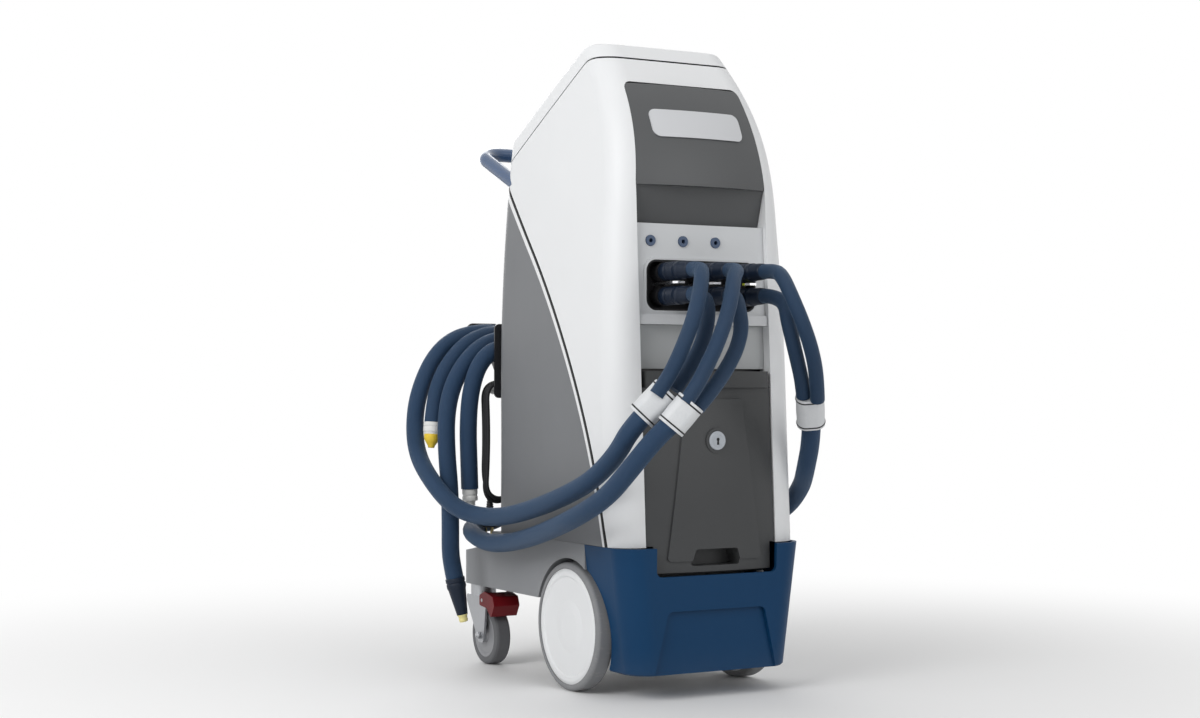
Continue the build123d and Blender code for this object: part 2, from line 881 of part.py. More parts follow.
def make_main_tyre():
    """Grey tyre with rounded shoulders."""
    low, high = wheel_inner_x, wheel_inner_x + wheel_width
    ring = wheel_radius - tyre_depth
    face = make_face(Polyline([(low, ring), (low, wheel_radius), (high, wheel_radius), (high, ring)], close=True))
    shoulders = face.vertices().group_by(Axis.Y)[-1]
    return Pos(0, wheel_y, wheel_radius) * revolve(fillet(shoulders, 6.0), Axis.X)


def make_main_wheel():
    """White dished wheel with a hub that turns on the axle."""
    low, high = wheel_inner_x, wheel_inner_x + wheel_width
    ring = wheel_radius - tyre_depth
    bore = axle_radius + running_gap
    return spun([
        (low + 3.0, ring), (high - 2.0, ring), (high, ring - 5.0), (high, ring - 11.0),
        (high - 2.5, ring - 14.0), (high - 5.0, 42.0), (high - 3.5, 26.0), (high - 3.5, 0.0),
        (axle_reach + 1.0, 0.0), (axle_reach + 1.0, bore), (low, bore), (low, 22.0),
        (high - 12.0, 24.0), (high - 9.5, ring - 20.0), (high - 11.0, ring - 6.0), (low + 3.0, ring - 6.0),
    ])


main_tyre = make_main_tyre()
main_wheel = make_main_wheel()
save("base_frame", make_base_frame())
save("axle", make_axle())
save("main_tyre_right", main_tyre)
save("main_tyre_left", mirrored(main_tyre))
save("main_wheel_right", main_wheel)
save("main_wheel_left", mirrored(main_wheel))


# Casters, made on the left and mirrored
fork_inner = caster_wheel_width / 2 + fork_gap
fork_top_z = 2 * caster_wheel_radius + 6.0
pedal_width = 2 * fork_inner + 2 * fork_wall + 7.0


def make_caster_fork():
    """Pressed fork with its race and stem, and ears for the brake pedal's pin."""
    leg = make_face(Polyline([
        (caster_y - 12.0, caster_wheel_radius - 3.0), (caster_y - 9.0, caster_wheel_radius - 12.0),
        (caster_y + 9.0, caster_wheel_radius - 12.0), (caster_y + 16.0, caster_wheel_radius),
        (stem_y + 24.0, fork_top_z), (stem_y + 24.0, fork_top_z + 12.0),
        (pedal_pivot_y - 8.0, fork_top_z + 12.0), (pedal_pivot_y - 8.0, fork_top_z - 6.0),
    ], close=True))
    leg = fillet(leg.vertices(), 4.0)
    plate = Plane.YZ * leg
    left = Pos(-caster_x - fork_inner - fork_wall, 0, 0) * extrude(plate, fork_wall)
    right = Pos(-caster_x + fork_inner, 0, 0) * extrude(plate, fork_wall)
    bridge = box(
        -caster_x - fork_inner, -caster_x + fork_inner, stem_y - 30.0, stem_y + 24.0,
        fork_top_z, fork_top_z + 6.0,
    )
    race = Pos(-caster_x, stem_y, 0) * extrude(
        Plane.XY.offset(fork_top_z + 6.0) * Circle(22.0), caster_top_z - fork_top_z - 6.0
    )
    stem = Pos(-caster_x, stem_y, 0) * extrude(
        Plane.XY.offset(caster_top_z) * Circle(stem_radius), rail_foot_z - caster_top_z + 14.0
    )
    fork = left + right + bridge + race + stem
    pin_low = -caster_x - fork_inner - fork_wall - 1.5
    pin_high = -caster_x + fork_inner + fork_wall + 1.5
    fork += rod(caster_pin_radius, (pin_low, caster_y, caster_wheel_radius), (pin_high, caster_y, caster_wheel_radius))
    ear = pin_low - 2.2
    fork += rod(pedal_pin_radius, (ear, pedal_pivot_y, pedal_pivot_z), (-2 * caster_x - ear, pedal_pivot_y, pedal_pivot_z))
    return fork


def caster_spun(profile):
    """A profile of (x, radius) points spun about the caster wheel's line."""
    face = make_face(Polyline(profile, close=True))
    return Pos(-caster_x, caster_y, caster_wheel_radius) * revolve(face, Axis.X)


def make_caster_wheel():
    """Caster wheel: a rubber tread moulded on a hub with a dished web on each side."""
    half, ring = caster_wheel_width / 2, caster_wheel_radius - caster_tyre_depth
    bore = caster_pin_radius + running_gap
    return caster_spun([
        (-half - 2.4, bore), (-half - 2.4, 11.0), (-half + 3.0, 13.0), (-half + 4.0, ring - 6.0),
        (-half + 1.0, ring - 4.0), (-half + 1.0, ring), (-half, ring + 1.0),
        (-half, caster_wheel_radius - 5.0), (-half + 1.5, caster_wheel_radius - 1.5),
        (-half + 5.0, caster_wheel_radius), (half - 5.0, caster_wheel_radius),
        (half - 1.5, caster_wheel_radius - 1.5), (half, caster_wheel_radius - 5.0), (half, ring + 1.0),
        (half - 1.0, ring), (half - 1.0, ring - 4.0), (half - 4.0, ring - 6.0), (half - 3.0, 13.0),
        (half + 2.4, 11.0), (half + 2.4, bore),
    ])


def make_brake_pedal():
    """Red foot pedal that straddles the fork and presses the brake."""
    front = pedal_pivot_y - 48.0
    side = fillet(make_face(Polyline([
        (pedal_pivot_y + 9.0, pedal_pivot_z - 9.0), (pedal_pivot_y + 9.0, pedal_pivot_z + 8.0),
        (pedal_pivot_y - 10.0, caster_top_z - 9.0), (front + 6.0, caster_top_z - 16.0),
        (front, pedal_pivot_z - 6.0), (front + 12.0, pedal_pivot_z - 27.0),
        (pedal_pivot_y - 18.0, pedal_pivot_z - 12.0),
    ], close=True)).vertices(), 3.0)
    body = Pos(-caster_x - pedal_width / 2, 0, 0) * extrude(Plane.YZ * side, pedal_width)
    slot_half = fork_inner + fork_wall + 0.5
    body -= box(
        -caster_x - slot_half, -caster_x + slot_half, pedal_pivot_y - 18.0, pedal_pivot_y + 40.0, 0.0, 200.0
    )
    hole = pedal_pin_radius + running_gap
    return body - rod(hole, (-far, pedal_pivot_y, pedal_pivot_z), (0.0, pedal_pivot_y, pedal_pivot_z))


for piece_name, piece in (
    ("caster_fork", make_caster_fork()), ("caster_wheel", make_caster_wheel()),
    ("brake_pedal", make_brake_pedal()),
):
    save(f"{piece_name}_left", piece)
    save(f"{piece_name}_right", mirrored(piece))


# Bumper and base cover
def wheel_arch(radius, inner_x):
    """The space round both main wheels."""
    arch = rod(radius, (-far, wheel_y, wheel_radius), (-inner_x, wheel_y, wheel_radius))
    return arch + mirrored(arch)


def bumper_form(inset, z_low, z_high):
    """The bumper's tapering form, drawn in by a distance."""
    sections = []
    for z, bevel in ((z_low, 3.0), (z_low + 3.0, 0.0), (z_high, 0.0)):
        share = (z - bumper_foot_z) / (bumper_top_z - bumper_foot_z)
        half = bumper_foot_half_width + share * (bumper_top_half_width - bumper_foot_half_width)
        draw_in = inset + bevel
        front = bumper_front_y + 4.0 * (1.0 - share) + draw_in
        outline = RectangleRounded(2 * (half - draw_in), -2 * front, bumper_corner - draw_in)
        sections.append(Pos(0, 0, z) * outline)
    return loft(sections, ruled=True)


sunk_y = bumper_front_y + sunk_depth


def sunk_outline(grow):
    """The bumper's sunk panel seen from the front."""
    top, foot = sunk_top_half_width + grow, sunk_foot_half_width + grow
    low = bumper_foot_z - 20.0
    panel = make_face(Polyline([
        (-top, sunk_top_z + grow), (-foot, low), (foot, low), (top, sunk_top_z + grow),
    ], close=True))
    return fillet(panel.vertices().group_by(Axis.Y)[-1], 10.0 + grow)


def make_front_bumper():
    """Blue bumper: a tray-like moulding with a sunk panel and the reservoir's notch."""
    form = bumper_form(0.0, bumper_foot_z, bumper_top_z)
    form -= bumper_form(bumper_wall, bumper_foot_z + bumper_wall, bumper_top_z + 20.0)
    form &= box(-far, far, -far, bumper_rear_y, 0.0, far)
    form -= box(-arch_inner_x + 8.0, arch_inner_x - 8.0, -200.0, far, 0.0, far)
    form -= wheel_arch(arch_radius, 100.0)
    notch = fillet(make_face(Polyline([
        (-notch_half_width, far), (-notch_half_width, notch_z), (notch_half_width, notch_z),
        (notch_half_width, far),
    ], close=True)).vertices().group_by(Axis.Y)[0], notch_corner)
    form -= front_block(notch, -far, -200.0)
    backing = bumper_form(0.0, bumper_foot_z, bumper_top_z) & front_block(
        sunk_outline(bumper_wall), sunk_y, sunk_y + bumper_wall
    )
    return form + backing - front_block(sunk_outline(0.0), -far, sunk_y)


cover_side = [
    (bumper_rear_y + seam_gap, bumper_top_z), (bumper_rear_y + seam_gap, cover_foot_z),
    (cover_rear_y - 16.0, cover_foot_z), (cover_rear_y, cover_foot_z + 16.0),
    (cover_rear_y - 6.0, 183.0), (cover_rear_y - 20.0, 195.0), (238.0, 200.0), (200.0, 207.0),
    (172.0, 221.0), (158.0, bumper_top_z),
]


def cover_form(inset):
    """The base cover's outer form with its rounded tail."""
    form = side_block(cover_side, -cover_half_width + inset, cover_half_width - inset)
    plan = Pos(0, -far / 2 + cover_rear_y / 2 - inset / 2) * Rectangle(
        2 * cover_half_width - 2 * inset, far + cover_rear_y - inset
    )
    plan = fillet(plan.vertices().group_by(Axis.Y)[-1], 34.0 - inset)
    return form & extrude(plan, far)


def make_base_cover():
    """Grey base cover: sides with wheel arches, and the tail over the casters."""
    outside = cover_form(0.0)
    liner = wheel_arch(arch_radius + arch_wall, arch_inner_x - arch_wall)
    inside = (Pos(0, 0, -cover_wall) * cover_form(cover_wall)) - liner
    cover = outside - inside - wheel_arch(arch_radius, arch_inner_x)
    cover -= box(
        -cover_opening_half_width, cover_opening_half_width, -far, body_rear_y - body_wall, 150.0, far
    )
    cover -= box(-arch_inner_x + arch_wall, arch_inner_x - arch_wall, -far, wheel_y + 60.0, 0.0, far)
    return cover - rod(14.5, (-far, wheel_y, wheel_radius), (far, wheel_y, wheel_radius))


save("front_bumper", make_front_bumper())
save("base_cover", make_base_cover())


# Inner frame
frame_rear_y = body_rear_y - body_wall - 0.4


def make_handle_socket():
    """A block on the side plate that holds the handle's end, on the left."""
    along = Vector(0, math.cos(math.radians(handle_rise)), math.sin(math.radians(handle_rise)))
    root = Vector(-handle_x, handle_root_y, handle_root_z)
    block = box(
        -handle_x - 4.0, -frame_plate_x - frame_sheet, handle_root_y - 16.0, handle_root_y + 22.0,
        handle_root_z - 20.0, handle_root_z + 14.0,
    )
    return block - rod(handle_tube / 2, tuple(root), tuple(root + along * 100.0))


def make_frame_side():
    """Folded steel side plate with a window and the handle's socket, on the left."""
    floor_z = rail_top_z + frame_sheet
    side_points = [
        (reservoir_rear_y + 0.5, rail_top_z), (front_y(floor_z) + 34.0, floor_z + 30.0),
        (front_y(nose_z) + 26.0, nose_z), (front_y(890.0) + 30.0, 890.0), (-100.0, 925.0),
        (145.0, 792.0), (frame_rear_y - 4.6, 782.0), (frame_rear_y, 640.0), (frame_rear_y, rail_top_z),
    ]
    window = fillet(make_face(Polyline([
        (-30.0, 560.0), (-30.0, 660.0), (118.0, 660.0), (118.0, 560.0),
    ], close=True)).vertices(), 18.0)
    plate = side_block(side_points, -frame_plate_x - frame_sheet, -frame_plate_x)
    plate -= extrude(Plane.YZ * window, far, both=True)
    return plate + make_handle_socket()


def make_frame_sheets():
    """Steel sheets between the side plates: floor, bay wall, two shelves and the leaning bulkhead."""
    floor_z = rail_top_z + frame_sheet
    inner, rear = frame_plate_x, frame_rear_y
    shelf_front = front_y(mid_shelf_z) + bulkhead_depth
    bulkhead_rear = bulkhead_depth + frame_sheet
    return [
        box(-inner, inner, reservoir_rear_y + 0.5, rear, rail_top_z, floor_z),
        box(-inner, inner, bay_rear_y, bay_rear_y + frame_sheet, floor_z, mid_shelf_z - frame_sheet),
        box(-inner, inner, shelf_front, rear, mid_shelf_z - frame_sheet, mid_shelf_z),
        box(-inner, inner, -190.0, rear, upper_shelf_z, upper_shelf_z + frame_sheet),
        leaning_block(mid_shelf_z, nose_z, bulkhead_depth, bulkhead_rear, inner),
        leaning_block(nose_z, 880.0, bulkhead_depth, bulkhead_rear, inner),
    ]


frame_side = make_frame_side()
save("inner_frame", Compound(children=[frame_side, mirrored(frame_side), *make_frame_sheets()]))


# Refrigeration and water parts
floor_z = rail_top_z + frame_sheet


def make_compressor():
    """Hermetic compressor: a domed can on a mounting foot."""
    foot = box(-70.0, 70.0, compressor_y - 52.0, compressor_y + 52.0, floor_z, floor_z + 5.0)
    foot = fillet(foot.edges().filter_by(Axis.Z), 14.0)
    can = Pos(0, compressor_y, 0) * extrude(
        Plane.XY.offset(floor_z + 5.0) * Circle(compressor_radius - 4.0), compressor_height
    )
    can = fillet(can.edges().group_by(Axis.Z)[-1], 30.0)
    return foot + can


def make_condenser():
    """Finned coil block on a foot that stands on the floor."""
    wide, deep, tall = condenser_size
    rear = body_rear_y - body_wall - shroud_size[1] - 1.0
    low, high = condenser_z - tall / 2, condenser_z + tall / 2
    block = box(-wide / 2, wide / 2, rear - deep, rear, low, high)
    pitch = wide / fin_count
    for fin in range(1, fin_count):
        x = -wide / 2 + fin * pitch
        block -= box(x - pitch * 0.3, x + pitch * 0.3, rear - deep - 1.0, rear - deep + 9.0, low + 8.0, high - 8.0)
    legs = box(-wide / 2, -wide / 2 + 12.0, rear - deep, rear, floor_z, low)
    return block + legs + mirrored(legs)


fan_y = body_rear_y - body_wall - shroud_size[1] / 2


def make_fan_shroud():
    """Square fan housing with a round duct and a three-armed motor mount."""
    wide, deep, tall = shroud_size
    rear = body_rear_y - body_wall
    block = box(-wide / 2, wide / 2, rear - deep, rear, condenser_z - tall / 2, condenser_z + tall / 2)
    block -= Pos(0, 0, condenser_z) * front_block(Circle(fan_radius + 3.0), rear - deep - 1.0, rear + 1.0)
    arms = Pos(0, 0, condenser_z) * front_block(Circle(18.0), rear - deep, rear - deep + 4.0)
    for turn in (90.0, 210.0, 330.0):
        arm = Pos(0, (fan_radius + 6.0) / 2) * Rectangle(10.0, fan_radius + 6.0)
        arms += Pos(0, 0, condenser_z) * front_block(Rot(0, 0, turn) * arm, rear - deep, rear - deep + 4.0)
    spindle = Pos(0, 0, condenser_z) * front_block(Circle(3.0), rear - deep, rear - 8.0)
    feet = box(-wide / 2, -wide / 2 + 14.0, rear - deep, rear, floor_z, condenser_z - tall / 2)
    return block + arms + spindle + feet + mirrored(feet)


def make_cooling_fan():
    """Fan with swept blades round a cupped hub."""
    rear = body_rear_y - body_wall
    hub = front_block(Circle(fan_hub_radius), rear - 26.0, rear - 6.0)
    hub -= front_block(Circle(3.0 + running_gap), rear - 40.0, rear - 7.9)
    for blade in range(blade_count):
        outline = make_face([
            Line((fan_hub_radius - 4.0, -12.0), (fan_radius - 2.0, -20.0)),
            ThreePointArc((fan_radius - 2.0, -20.0), (fan_radius, 0.0), (fan_radius - 5.0, 20.0)),
            Line((fan_radius - 5.0, 20.0), (fan_hub_radius - 4.0, 8.0)),
            Line((fan_hub_radius - 4.0, 8.0), (fan_hub_radius - 4.0, -12.0)),
        ])
        blade_plate = Plane.XZ.offset(-(rear - 15.0)) * outline
        plate = extrude(blade_plate, 2.4)
        tilt = Pos(0, rear - 16.0, 0) * Rot(22.0, 0, 0) * Pos(0, -(rear - 16.0), 0) * plate
        hub += Rot(0, blade * 360.0 / blade_count, 0) * tilt
    return Pos(0, 0, condenser_z) * hub


def make_pumps():
    """Three circulation pumps: motor, volute and outlet, side by side on the shelf."""
    pumps = []
    for x in (-port_pitch, 0.0, port_pitch):
        foot = box(x - 20.0, x + 20.0, -120.0, -60.0, mid_shelf_z, mid_shelf_z + 4.0)
        motor = rod(22.0, (x, -128.0, mid_shelf_z + 25.0), (x, -58.0, mid_shelf_z + 25.0))
        volute = rod(27.0, (x, -152.0, mid_shelf_z + 28.0), (x, -128.0, mid_shelf_z + 28.0))
        outlet = rod(8.0, (x, -140.0, mid_shelf_z + 40.0), (x, -140.0, mid_shelf_z + 74.0))
        pumps.append(foot + motor + volute + outlet)
    return pumps


def make_heat_exchanger():
    """Brazed plate heat exchanger with its four stubs."""
    block = box(-58.0, 58.0, 40.0, 100.0, mid_shelf_z, mid_shelf_z + 150.0)
    block = fillet(block.edges().filter_by(Axis.Y), 18.0)
    for x in (-34.0, 34.0):
        for z in (mid_shelf_z + 26.0, mid_shelf_z + 124.0):
            block += rod(9.0, (x, 18.0, z), (x, 40.0, z))
    return block


def make_manifold():
    """Water manifold behind the ports, carried by the bulkhead."""
    back = front_y(well_centre_z) + bulkhead_depth + frame_sheet + 2.2
    block = box(-88.0, 88.0, back, back + 26.0, well_centre_z - 30.0, well_centre_z + 30.0)
    return fillet(block.edges().filter_by(Axis.Z), 5.0)


def make_power_supply():
    """Power supply in a folded box on the upper shelf."""
    low = upper_shelf_z + frame_sheet
    block = box(-92.0, 20.0, 20.0, 140.0, low, low + 58.0)
    return fillet(block.edges().filter_by(Axis.Z), 3.0)


def make_control_board():
    """Control board on four posts, with its larger parts."""
    low = upper_shelf_z + frame_sheet
    board = box(-96.0, 96.0, -170.0, -30.0, low + 8.0, low + 10.0)
    for x in (-86.0, 86.0):
        for y in (-160.0, -40.0):
            board += Pos(x, y, low + 4.0) * Cylinder(4.0, 8.0)
    for x, y, wide, deep, tall in (
        (-40.0, -110.0, 34.0, 34.0, 4.0), (30.0, -120.0, 24.0, 18.0, 12.0), (60.0, -70.0, 30.0, 22.0, 16.0),
        (-60.0, -60.0, 50.0, 12.0, 11.0),
    ):
        board += Pos(x, y, low + 10.0 + tall / 2) * Box(wide, deep, tall)
    return board


save("compressor", make_compressor())
save("condenser", make_condenser())
save("fan_shroud", make_fan_shroud())
save("cooling_fan", make_cooling_fan())
save("circulation_pumps", Compound(children=make_pumps()))
save("heat_exchanger", make_heat_exchanger())
save("water_manifold", make_manifold())
save("power_supply", make_power_supply())
save("control_board", make_control_board())


# Handle and hose hook
def make_push_handle():
    """Blue push handle: one bent tube with closed ends."""
    path = handle_path()
    start = Plane(origin=path @ 0, z_dir=path % 0)
    return sweep(start * Circle(handle_tube / 2), path=path)


def make_hose_hook():
    """Black wire bail whose arms slope down to a wall plate, which also has the cord's peg."""
    wall_y = body_rear_y
    points = [
        (hook_left_x, wall_y, hook_root_z), (hook_left_x, hook_tip_y, hook_end_z),
        (hook_left_x, hook_tip_y, hook_tip_z), (hook_right_x, hook_tip_y, hook_tip_z),
        (hook_right_x, hook_tip_y, hook_end_z), (hook_right_x, wall_y, hook_root_z),
    ]
    path = FilletPolyline(*points, radius=hook_corner)
    wire = sweep(Plane(origin=path @ 0, z_dir=path % 0) * Circle(hook_wire / 2), path=path)
    wire &= box(-far, far, wall_y, far, 0.0, far * 2)
    plate = box(
        hook_left_x - 12.0, hook_right_x + 12.0, wall_y, wall_y + hook_plate, peg_z - 14.0, hook_tip_z - 2.0,
    )
    plate = fillet(plate.edges().filter_by(Axis.Y), 8.0)
    rise = (hook_end_z - hook_root_z) / (hook_tip_y - wall_y)
    brace = side_block(
        [
            (wall_y, hook_brace_foot_z), (wall_y, hook_root_z),
            (hook_brace_y, hook_root_z + rise * (hook_brace_y - wall_y)),
        ],
        hook_left_x - hook_wire / 2, hook_left_x + hook_wire / 2,
    )
    peg = rod(peg_radius, (hank_x, wall_y, peg_z), (hank_x, peg_end_y, peg_z))
    return wire + plate + brace + peg


def inlet_pin(place, grow, y_low, y_high):
    """One of the inlet's flat pins, or with grow the hole for it."""
    x, z = inlet_x + place[0], inlet_z + place[1]
    half_x, half_z = inlet_pin_half[0] + grow, inlet_pin_half[1] + grow
    return box(x - half_x, x + half_x, y_low, y_high, z - half_z, z + half_z)


def make_mains_inlet():
    """Appliance inlet in the rear panel: flange, socket with three pins, and the rocker's seat."""
    wall_y = body_rear_y
    body = box(
        inlet_x - inlet_width / 2 + 0.4, inlet_x + inlet_width / 2 - 0.4, wall_y - 38.0, wall_y,
        inlet_z - inlet_height / 2 + 0.4, inlet_z + inlet_height / 2 - 0.4,
    )
    flange = box(
        inlet_x - inlet_width / 2 - 4.0, inlet_x + inlet_width / 2 + 4.0, wall_y, wall_y + inlet_flange,
        inlet_z - inlet_height / 2 - 4.0, inlet_z + inlet_height / 2 + 4.0,
    )
    inlet = body + fillet(flange.edges().filter_by(Axis.Y), 3.0)
    inlet -= box(inlet_x - 26.0, inlet_x + 1.5, wall_y - 16.0, far, inlet_z - 10.0, inlet_z + 10.0)
    for pin in inlet_pins:
        inlet += inlet_pin(pin, 0.0, wall_y - 17.0, wall_y - 1.0)
    seat_half = rocker_width / 2 + 0.3
    rocker_x = inlet_x + 16.0
    inlet -= box(
        rocker_x - seat_half, rocker_x + seat_half, wall_y - 16.0, far, inlet_z - 12.4, inlet_z + 12.4
    )
    pin_half = rocker_width / 2 + 1.9
    return inlet - rod(
        rocker_pin_radius + running_gap, (rocker_x - pin_half, rocker_pivot_y, inlet_z),
        (rocker_x + pin_half, rocker_pivot_y, inlet_z),
    )


def make_power_rocker():
    """Rocker switch with one end proud, on two short pins."""
    rocker_x = inlet_x + 16.0
    pivot_y = rocker_pivot_y
    side = fillet(make_face(Polyline([
        (pivot_y - 4.0, inlet_z - 4.0), (pivot_y - 1.0, inlet_z - 10.0), (pivot_y + 8.0, inlet_z - 10.4),
        (pivot_y + 6.6, inlet_z), (pivot_y + 10.4, inlet_z + 10.0), (pivot_y - 1.0, inlet_z + 10.0),
        (pivot_y - 4.0, inlet_z + 4.0),
    ], close=True)).vertices(), 0.8)
    rocker = Pos(rocker_x - rocker_width / 2, 0, 0) * extrude(Plane.YZ * side, rocker_width)
    pin_half = rocker_width / 2 + 1.6
    return rocker + rod(
        rocker_pin_radius, (rocker_x - pin_half, pivot_y, inlet_z), (rocker_x + pin_half, pivot_y, inlet_z)
    )


save("mains_inlet", make_mains_inlet())
save("power_rocker", make_power_rocker())
save("push_handle", make_push_handle())
save("hose_hook", make_hose_hook())


# Cords
def cord_tube(name, points, width):
    """A round tube of straight runs and tangent arcs; prints its length, tightest arc and volume."""
    corners = [Vector(*point) for point in points]
    edges, tightest, reached = [], far, corners[0]
    for before, corner, after in zip(corners, corners[1:], corners[2:]):
        towards, away = (corner - before).normalized(), (after - corner).normalized()
        trim = cord_share * min((corner - before).length, (after - corner).length)
        half_turn = math.radians(towards.get_angle(away)) / 2
        radius = trim / math.tan(half_turn)
        start, end = corner - towards * trim, corner + away * trim
        middle = corner + (away - towards).normalized() * (radius / math.cos(half_turn) - radius)
        edges += [Line(reached, start), ThreePointArc(start, middle, end)]
        reached, tightest = end, min(tightest, radius)
    edges.append(Line(reached, corners[-1]))
    path = Wire(edges)
    tube = sweep(Plane(origin=path @ 0, z_dir=path % 0) * Circle(width / 2), path=path)
    share = tube.volume / (path.length * math.pi * width**2 / 4)
    print(f"{name}: length {path.length:.0f}, tightest arc {tightest:.0f}, volume share {share:.4f}")
    return tube


label_starts = ((-130.0, -386.0, 494.0), (-99.0, -414.0, 482.0), (156.0, -354.0, 486.0))
label_ends = ((-158.0, -362.0, 439.0), (-136.0, -398.0, 430.0), (182.0, -324.0, 434.0))
branch_points = (
    (
        [(-66.0, -366.0, 658.0), (-70.0, -398.0, 642.0), (-82.0, -416.0, 606.0), (-104.0, -414.0, 552.0)],
        [(-66.0, -344.0, 621.0), (-69.0, -372.0, 607.0), (-80.0, -388.0, 580.0), (-96.0, -390.0, 552.0)],
    ),
    (
        [(0.0, -366.0, 658.0), (-3.0, -400.0, 642.0), (-14.0, -424.0, 606.0), (-42.0, -438.0, 560.0)],
        [(0.0, -344.0, 621.0), (-3.0, -372.0, 607.0), (-14.0, -395.0, 578.0), (-42.0, -410.0, 544.0)],
    ),
    (
        [(66.0, -366.0, 658.0), (70.0, -396.0, 642.0), (84.0, -417.0, 606.0), (111.0, -413.0, 560.0)],
        [(66.0, -344.0, 621.0), (70.0, -370.0, 607.0), (84.0, -386.0, 578.0), (106.0, -379.0, 541.0)],
    ),
)
hose_a_points = [
    (-190.0, -314.0, 386.0), (-207.0, -262.0, 340.0), (-212.0, -167.0, 308.0), (-212.0, -49.0, 281.0),
    (-215.0, 30.0, 268.0), (-225.0, 89.0, 266.0), (-242.0, 124.0, 274.0), (-255.0, 155.0, 291.0),
    (-265.0, 202.0, 326.0), (-264.0, 252.0, 362.0), (-263.0, 270.0, 406.0), (-257.0, 270.0, 464.0),
    (-231.0, 268.0, 526.0), (-196.0, 267.2, 561.0), (-150.0, 267.2, 575.6), (-94.0, 267.2, 576.2),
    (-50.0, 267.6, 559.0), (-12.0, 269.0, 508.0), (6.0, 264.0, 434.0), (12.0, 256.0, 362.0),
    (36.0, 238.0, 306.0), (78.0, 214.0, 302.0), (104.0, 195.0, 344.0), (102.0, 184.0, 408.0),
    (72.0, 177.0, 466.0), (14.0, 175.1, 516.0), (-42.0, 175.1, 539.0), (-98.0, 175.1, 548.0),
    (-152.0, 175.1, 548.0), (-184.0, 176.0, 522.0), (-196.0, 186.0, 472.0), (-196.0, 195.0, 410.0),
    (-192.0, 199.0, 352.0), (-190.0, 200.0, 306.0),
]
hose_b_points = [
    (-190.0, -362.0, 357.0), (-216.0, -318.0, 316.0), (-228.0, -240.0, 282.0), (-218.0, -150.0, 260.0),
    (-209.0, -60.0, 240.0), (-207.0, 15.0, 227.0), (-210.0, 81.0, 221.0), (-212.0, 132.0, 229.0),
    (-199.0, 180.0, 237.0), (-170.0, 219.0, 241.0), (-118.0, 238.0, 247.0), (-76.0, 241.0, 272.0),
    (-54.0, 240.0, 320.0), (-47.0, 239.0, 385.0), (-44.0, 238.0, 450.0), (-44.0, 237.0, 510.0),
    (-62.0, 236.5, 552.0), (-98.0, 236.5, 572.4), (-148.0, 236.5, 571.4), (-190.0, 236.5, 547.0),
    (-224.0, 238.5, 502.0), (-238.0, 240.0, 454.0), (-242.0, 238.0, 416.0),
]
hose_c_points = [
    (206.0, -262.0, 345.0), (207.0, -170.0, 276.0), (206.0, -60.0, 246.0), (205.0, 50.0, 240.0),
    (202.0, 122.0, 247.0), (184.0, 184.0, 257.0), (128.0, 210.0, 258.0), (50.0, 215.0, 251.0),
    (-4.0, 212.0, 258.0), (-34.0, 208.0, 298.0), (-43.0, 206.5, 362.0), (-43.0, 206.0, 440.0),
    (-46.0, 205.8, 504.0), (-64.0, 205.8, 542.6), (-98.0, 205.8, 562.2), (-147.0, 205.8, 561.0),
    (-184.0, 206.0, 537.0), (-216.0, 208.6, 492.0), (-231.0, 208.0, 436.0), (-232.0, 204.0, 370.0),
    (-230.0, 195.0, 306.0),
    (-234.0, 184.0, 248.0), (-238.0, 176.0, 204.0), (-236.5, 172.5, 180.0), (-231.5, 170.5, 154.0),
]
hose_points = {"a": hose_a_points, "b": hose_b_points, "c": hose_c_points}
tip_profiles = {
    "a": [(13.0, 0.0), (13.0, 20.0), (9.0, 24.0), (9.0, 28.0)],
    "b": [(16.0, 0.0), (16.0, 12.0), (14.0, 14.0), (13.0, 26.0), (5.0, 40.0)],
    "c": [(16.5, 0.0), (16.5, 12.0), (9.0, 60.0), (7.5, 62.0), (6.5, 72.0)],
}


def label_plane(number):
    """A label's start, with Z along it and X across the pair of hoses."""
    start, end = Vector(*label_starts[number]), Vector(*label_ends[number])
    axis = (end - start).normalized()
    across = Vector(0, -1, 0) - axis * axis.dot(Vector(0, -1, 0))
    return Plane(origin=start, x_dir=across, z_dir=axis)


def make_connectors():
    """Six round connectors, each with its spigot in a socket and a narrower rear."""
    socket_mouth_y = socket_y - socket_length
    profile = make_face(Polyline([
        (0.0, socket_mouth_y + connector_spigot), (socket_bore - cord_gap, socket_mouth_y + connector_spigot),
        (socket_bore - cord_gap, socket_mouth_y - cord_gap), (connector_radius, socket_mouth_y - cord_gap),
        (connector_radius, connector_front_y + 22.0), (connector_radius - 1.2, connector_front_y + 20.0),
        (connector_radius - 1.2, connector_front_y + 6.0), (branch_width / 2, connector_front_y),
        (0.0, connector_front_y),
    ], close=True))
    connector = revolve(profile, Axis.Y)
    return [Pos(x, 0, z) * connector for x, z in port_places()]


def make_branches():
    """Two hoses from each pair of ports to a label."""
    branches = []
    for number, pair in enumerate(branch_points):
        plane = label_plane(number)
        for points, z, side in zip(pair, reversed(port_rows_z), (1, -1)):
            end = plane.from_local_coords(Vector(side * pair_pitch / 2, 0, -cord_gap))
            lead = end - plane.z_dir * hose_lead
            start = (points[0][0], connector_front_y - cord_gap, z)
            route = [start, *points, tuple(lead), tuple(end)]
            branches.append(cord_tube(f"branch {number + 1}", route, branch_width))
    return branches


def make_labels():
    """A bare sleeve round each pair of hoses."""
    labels = []
    for number in range(len(label_starts)):
        length = (Vector(*label_ends[number]) - Vector(*label_starts[number])).length
        outline = RectangleRounded(label_width, label_depth, label_depth / 2 - 0.5)
        labels.append(extrude(label_plane(number) * outline, length))
    return labels


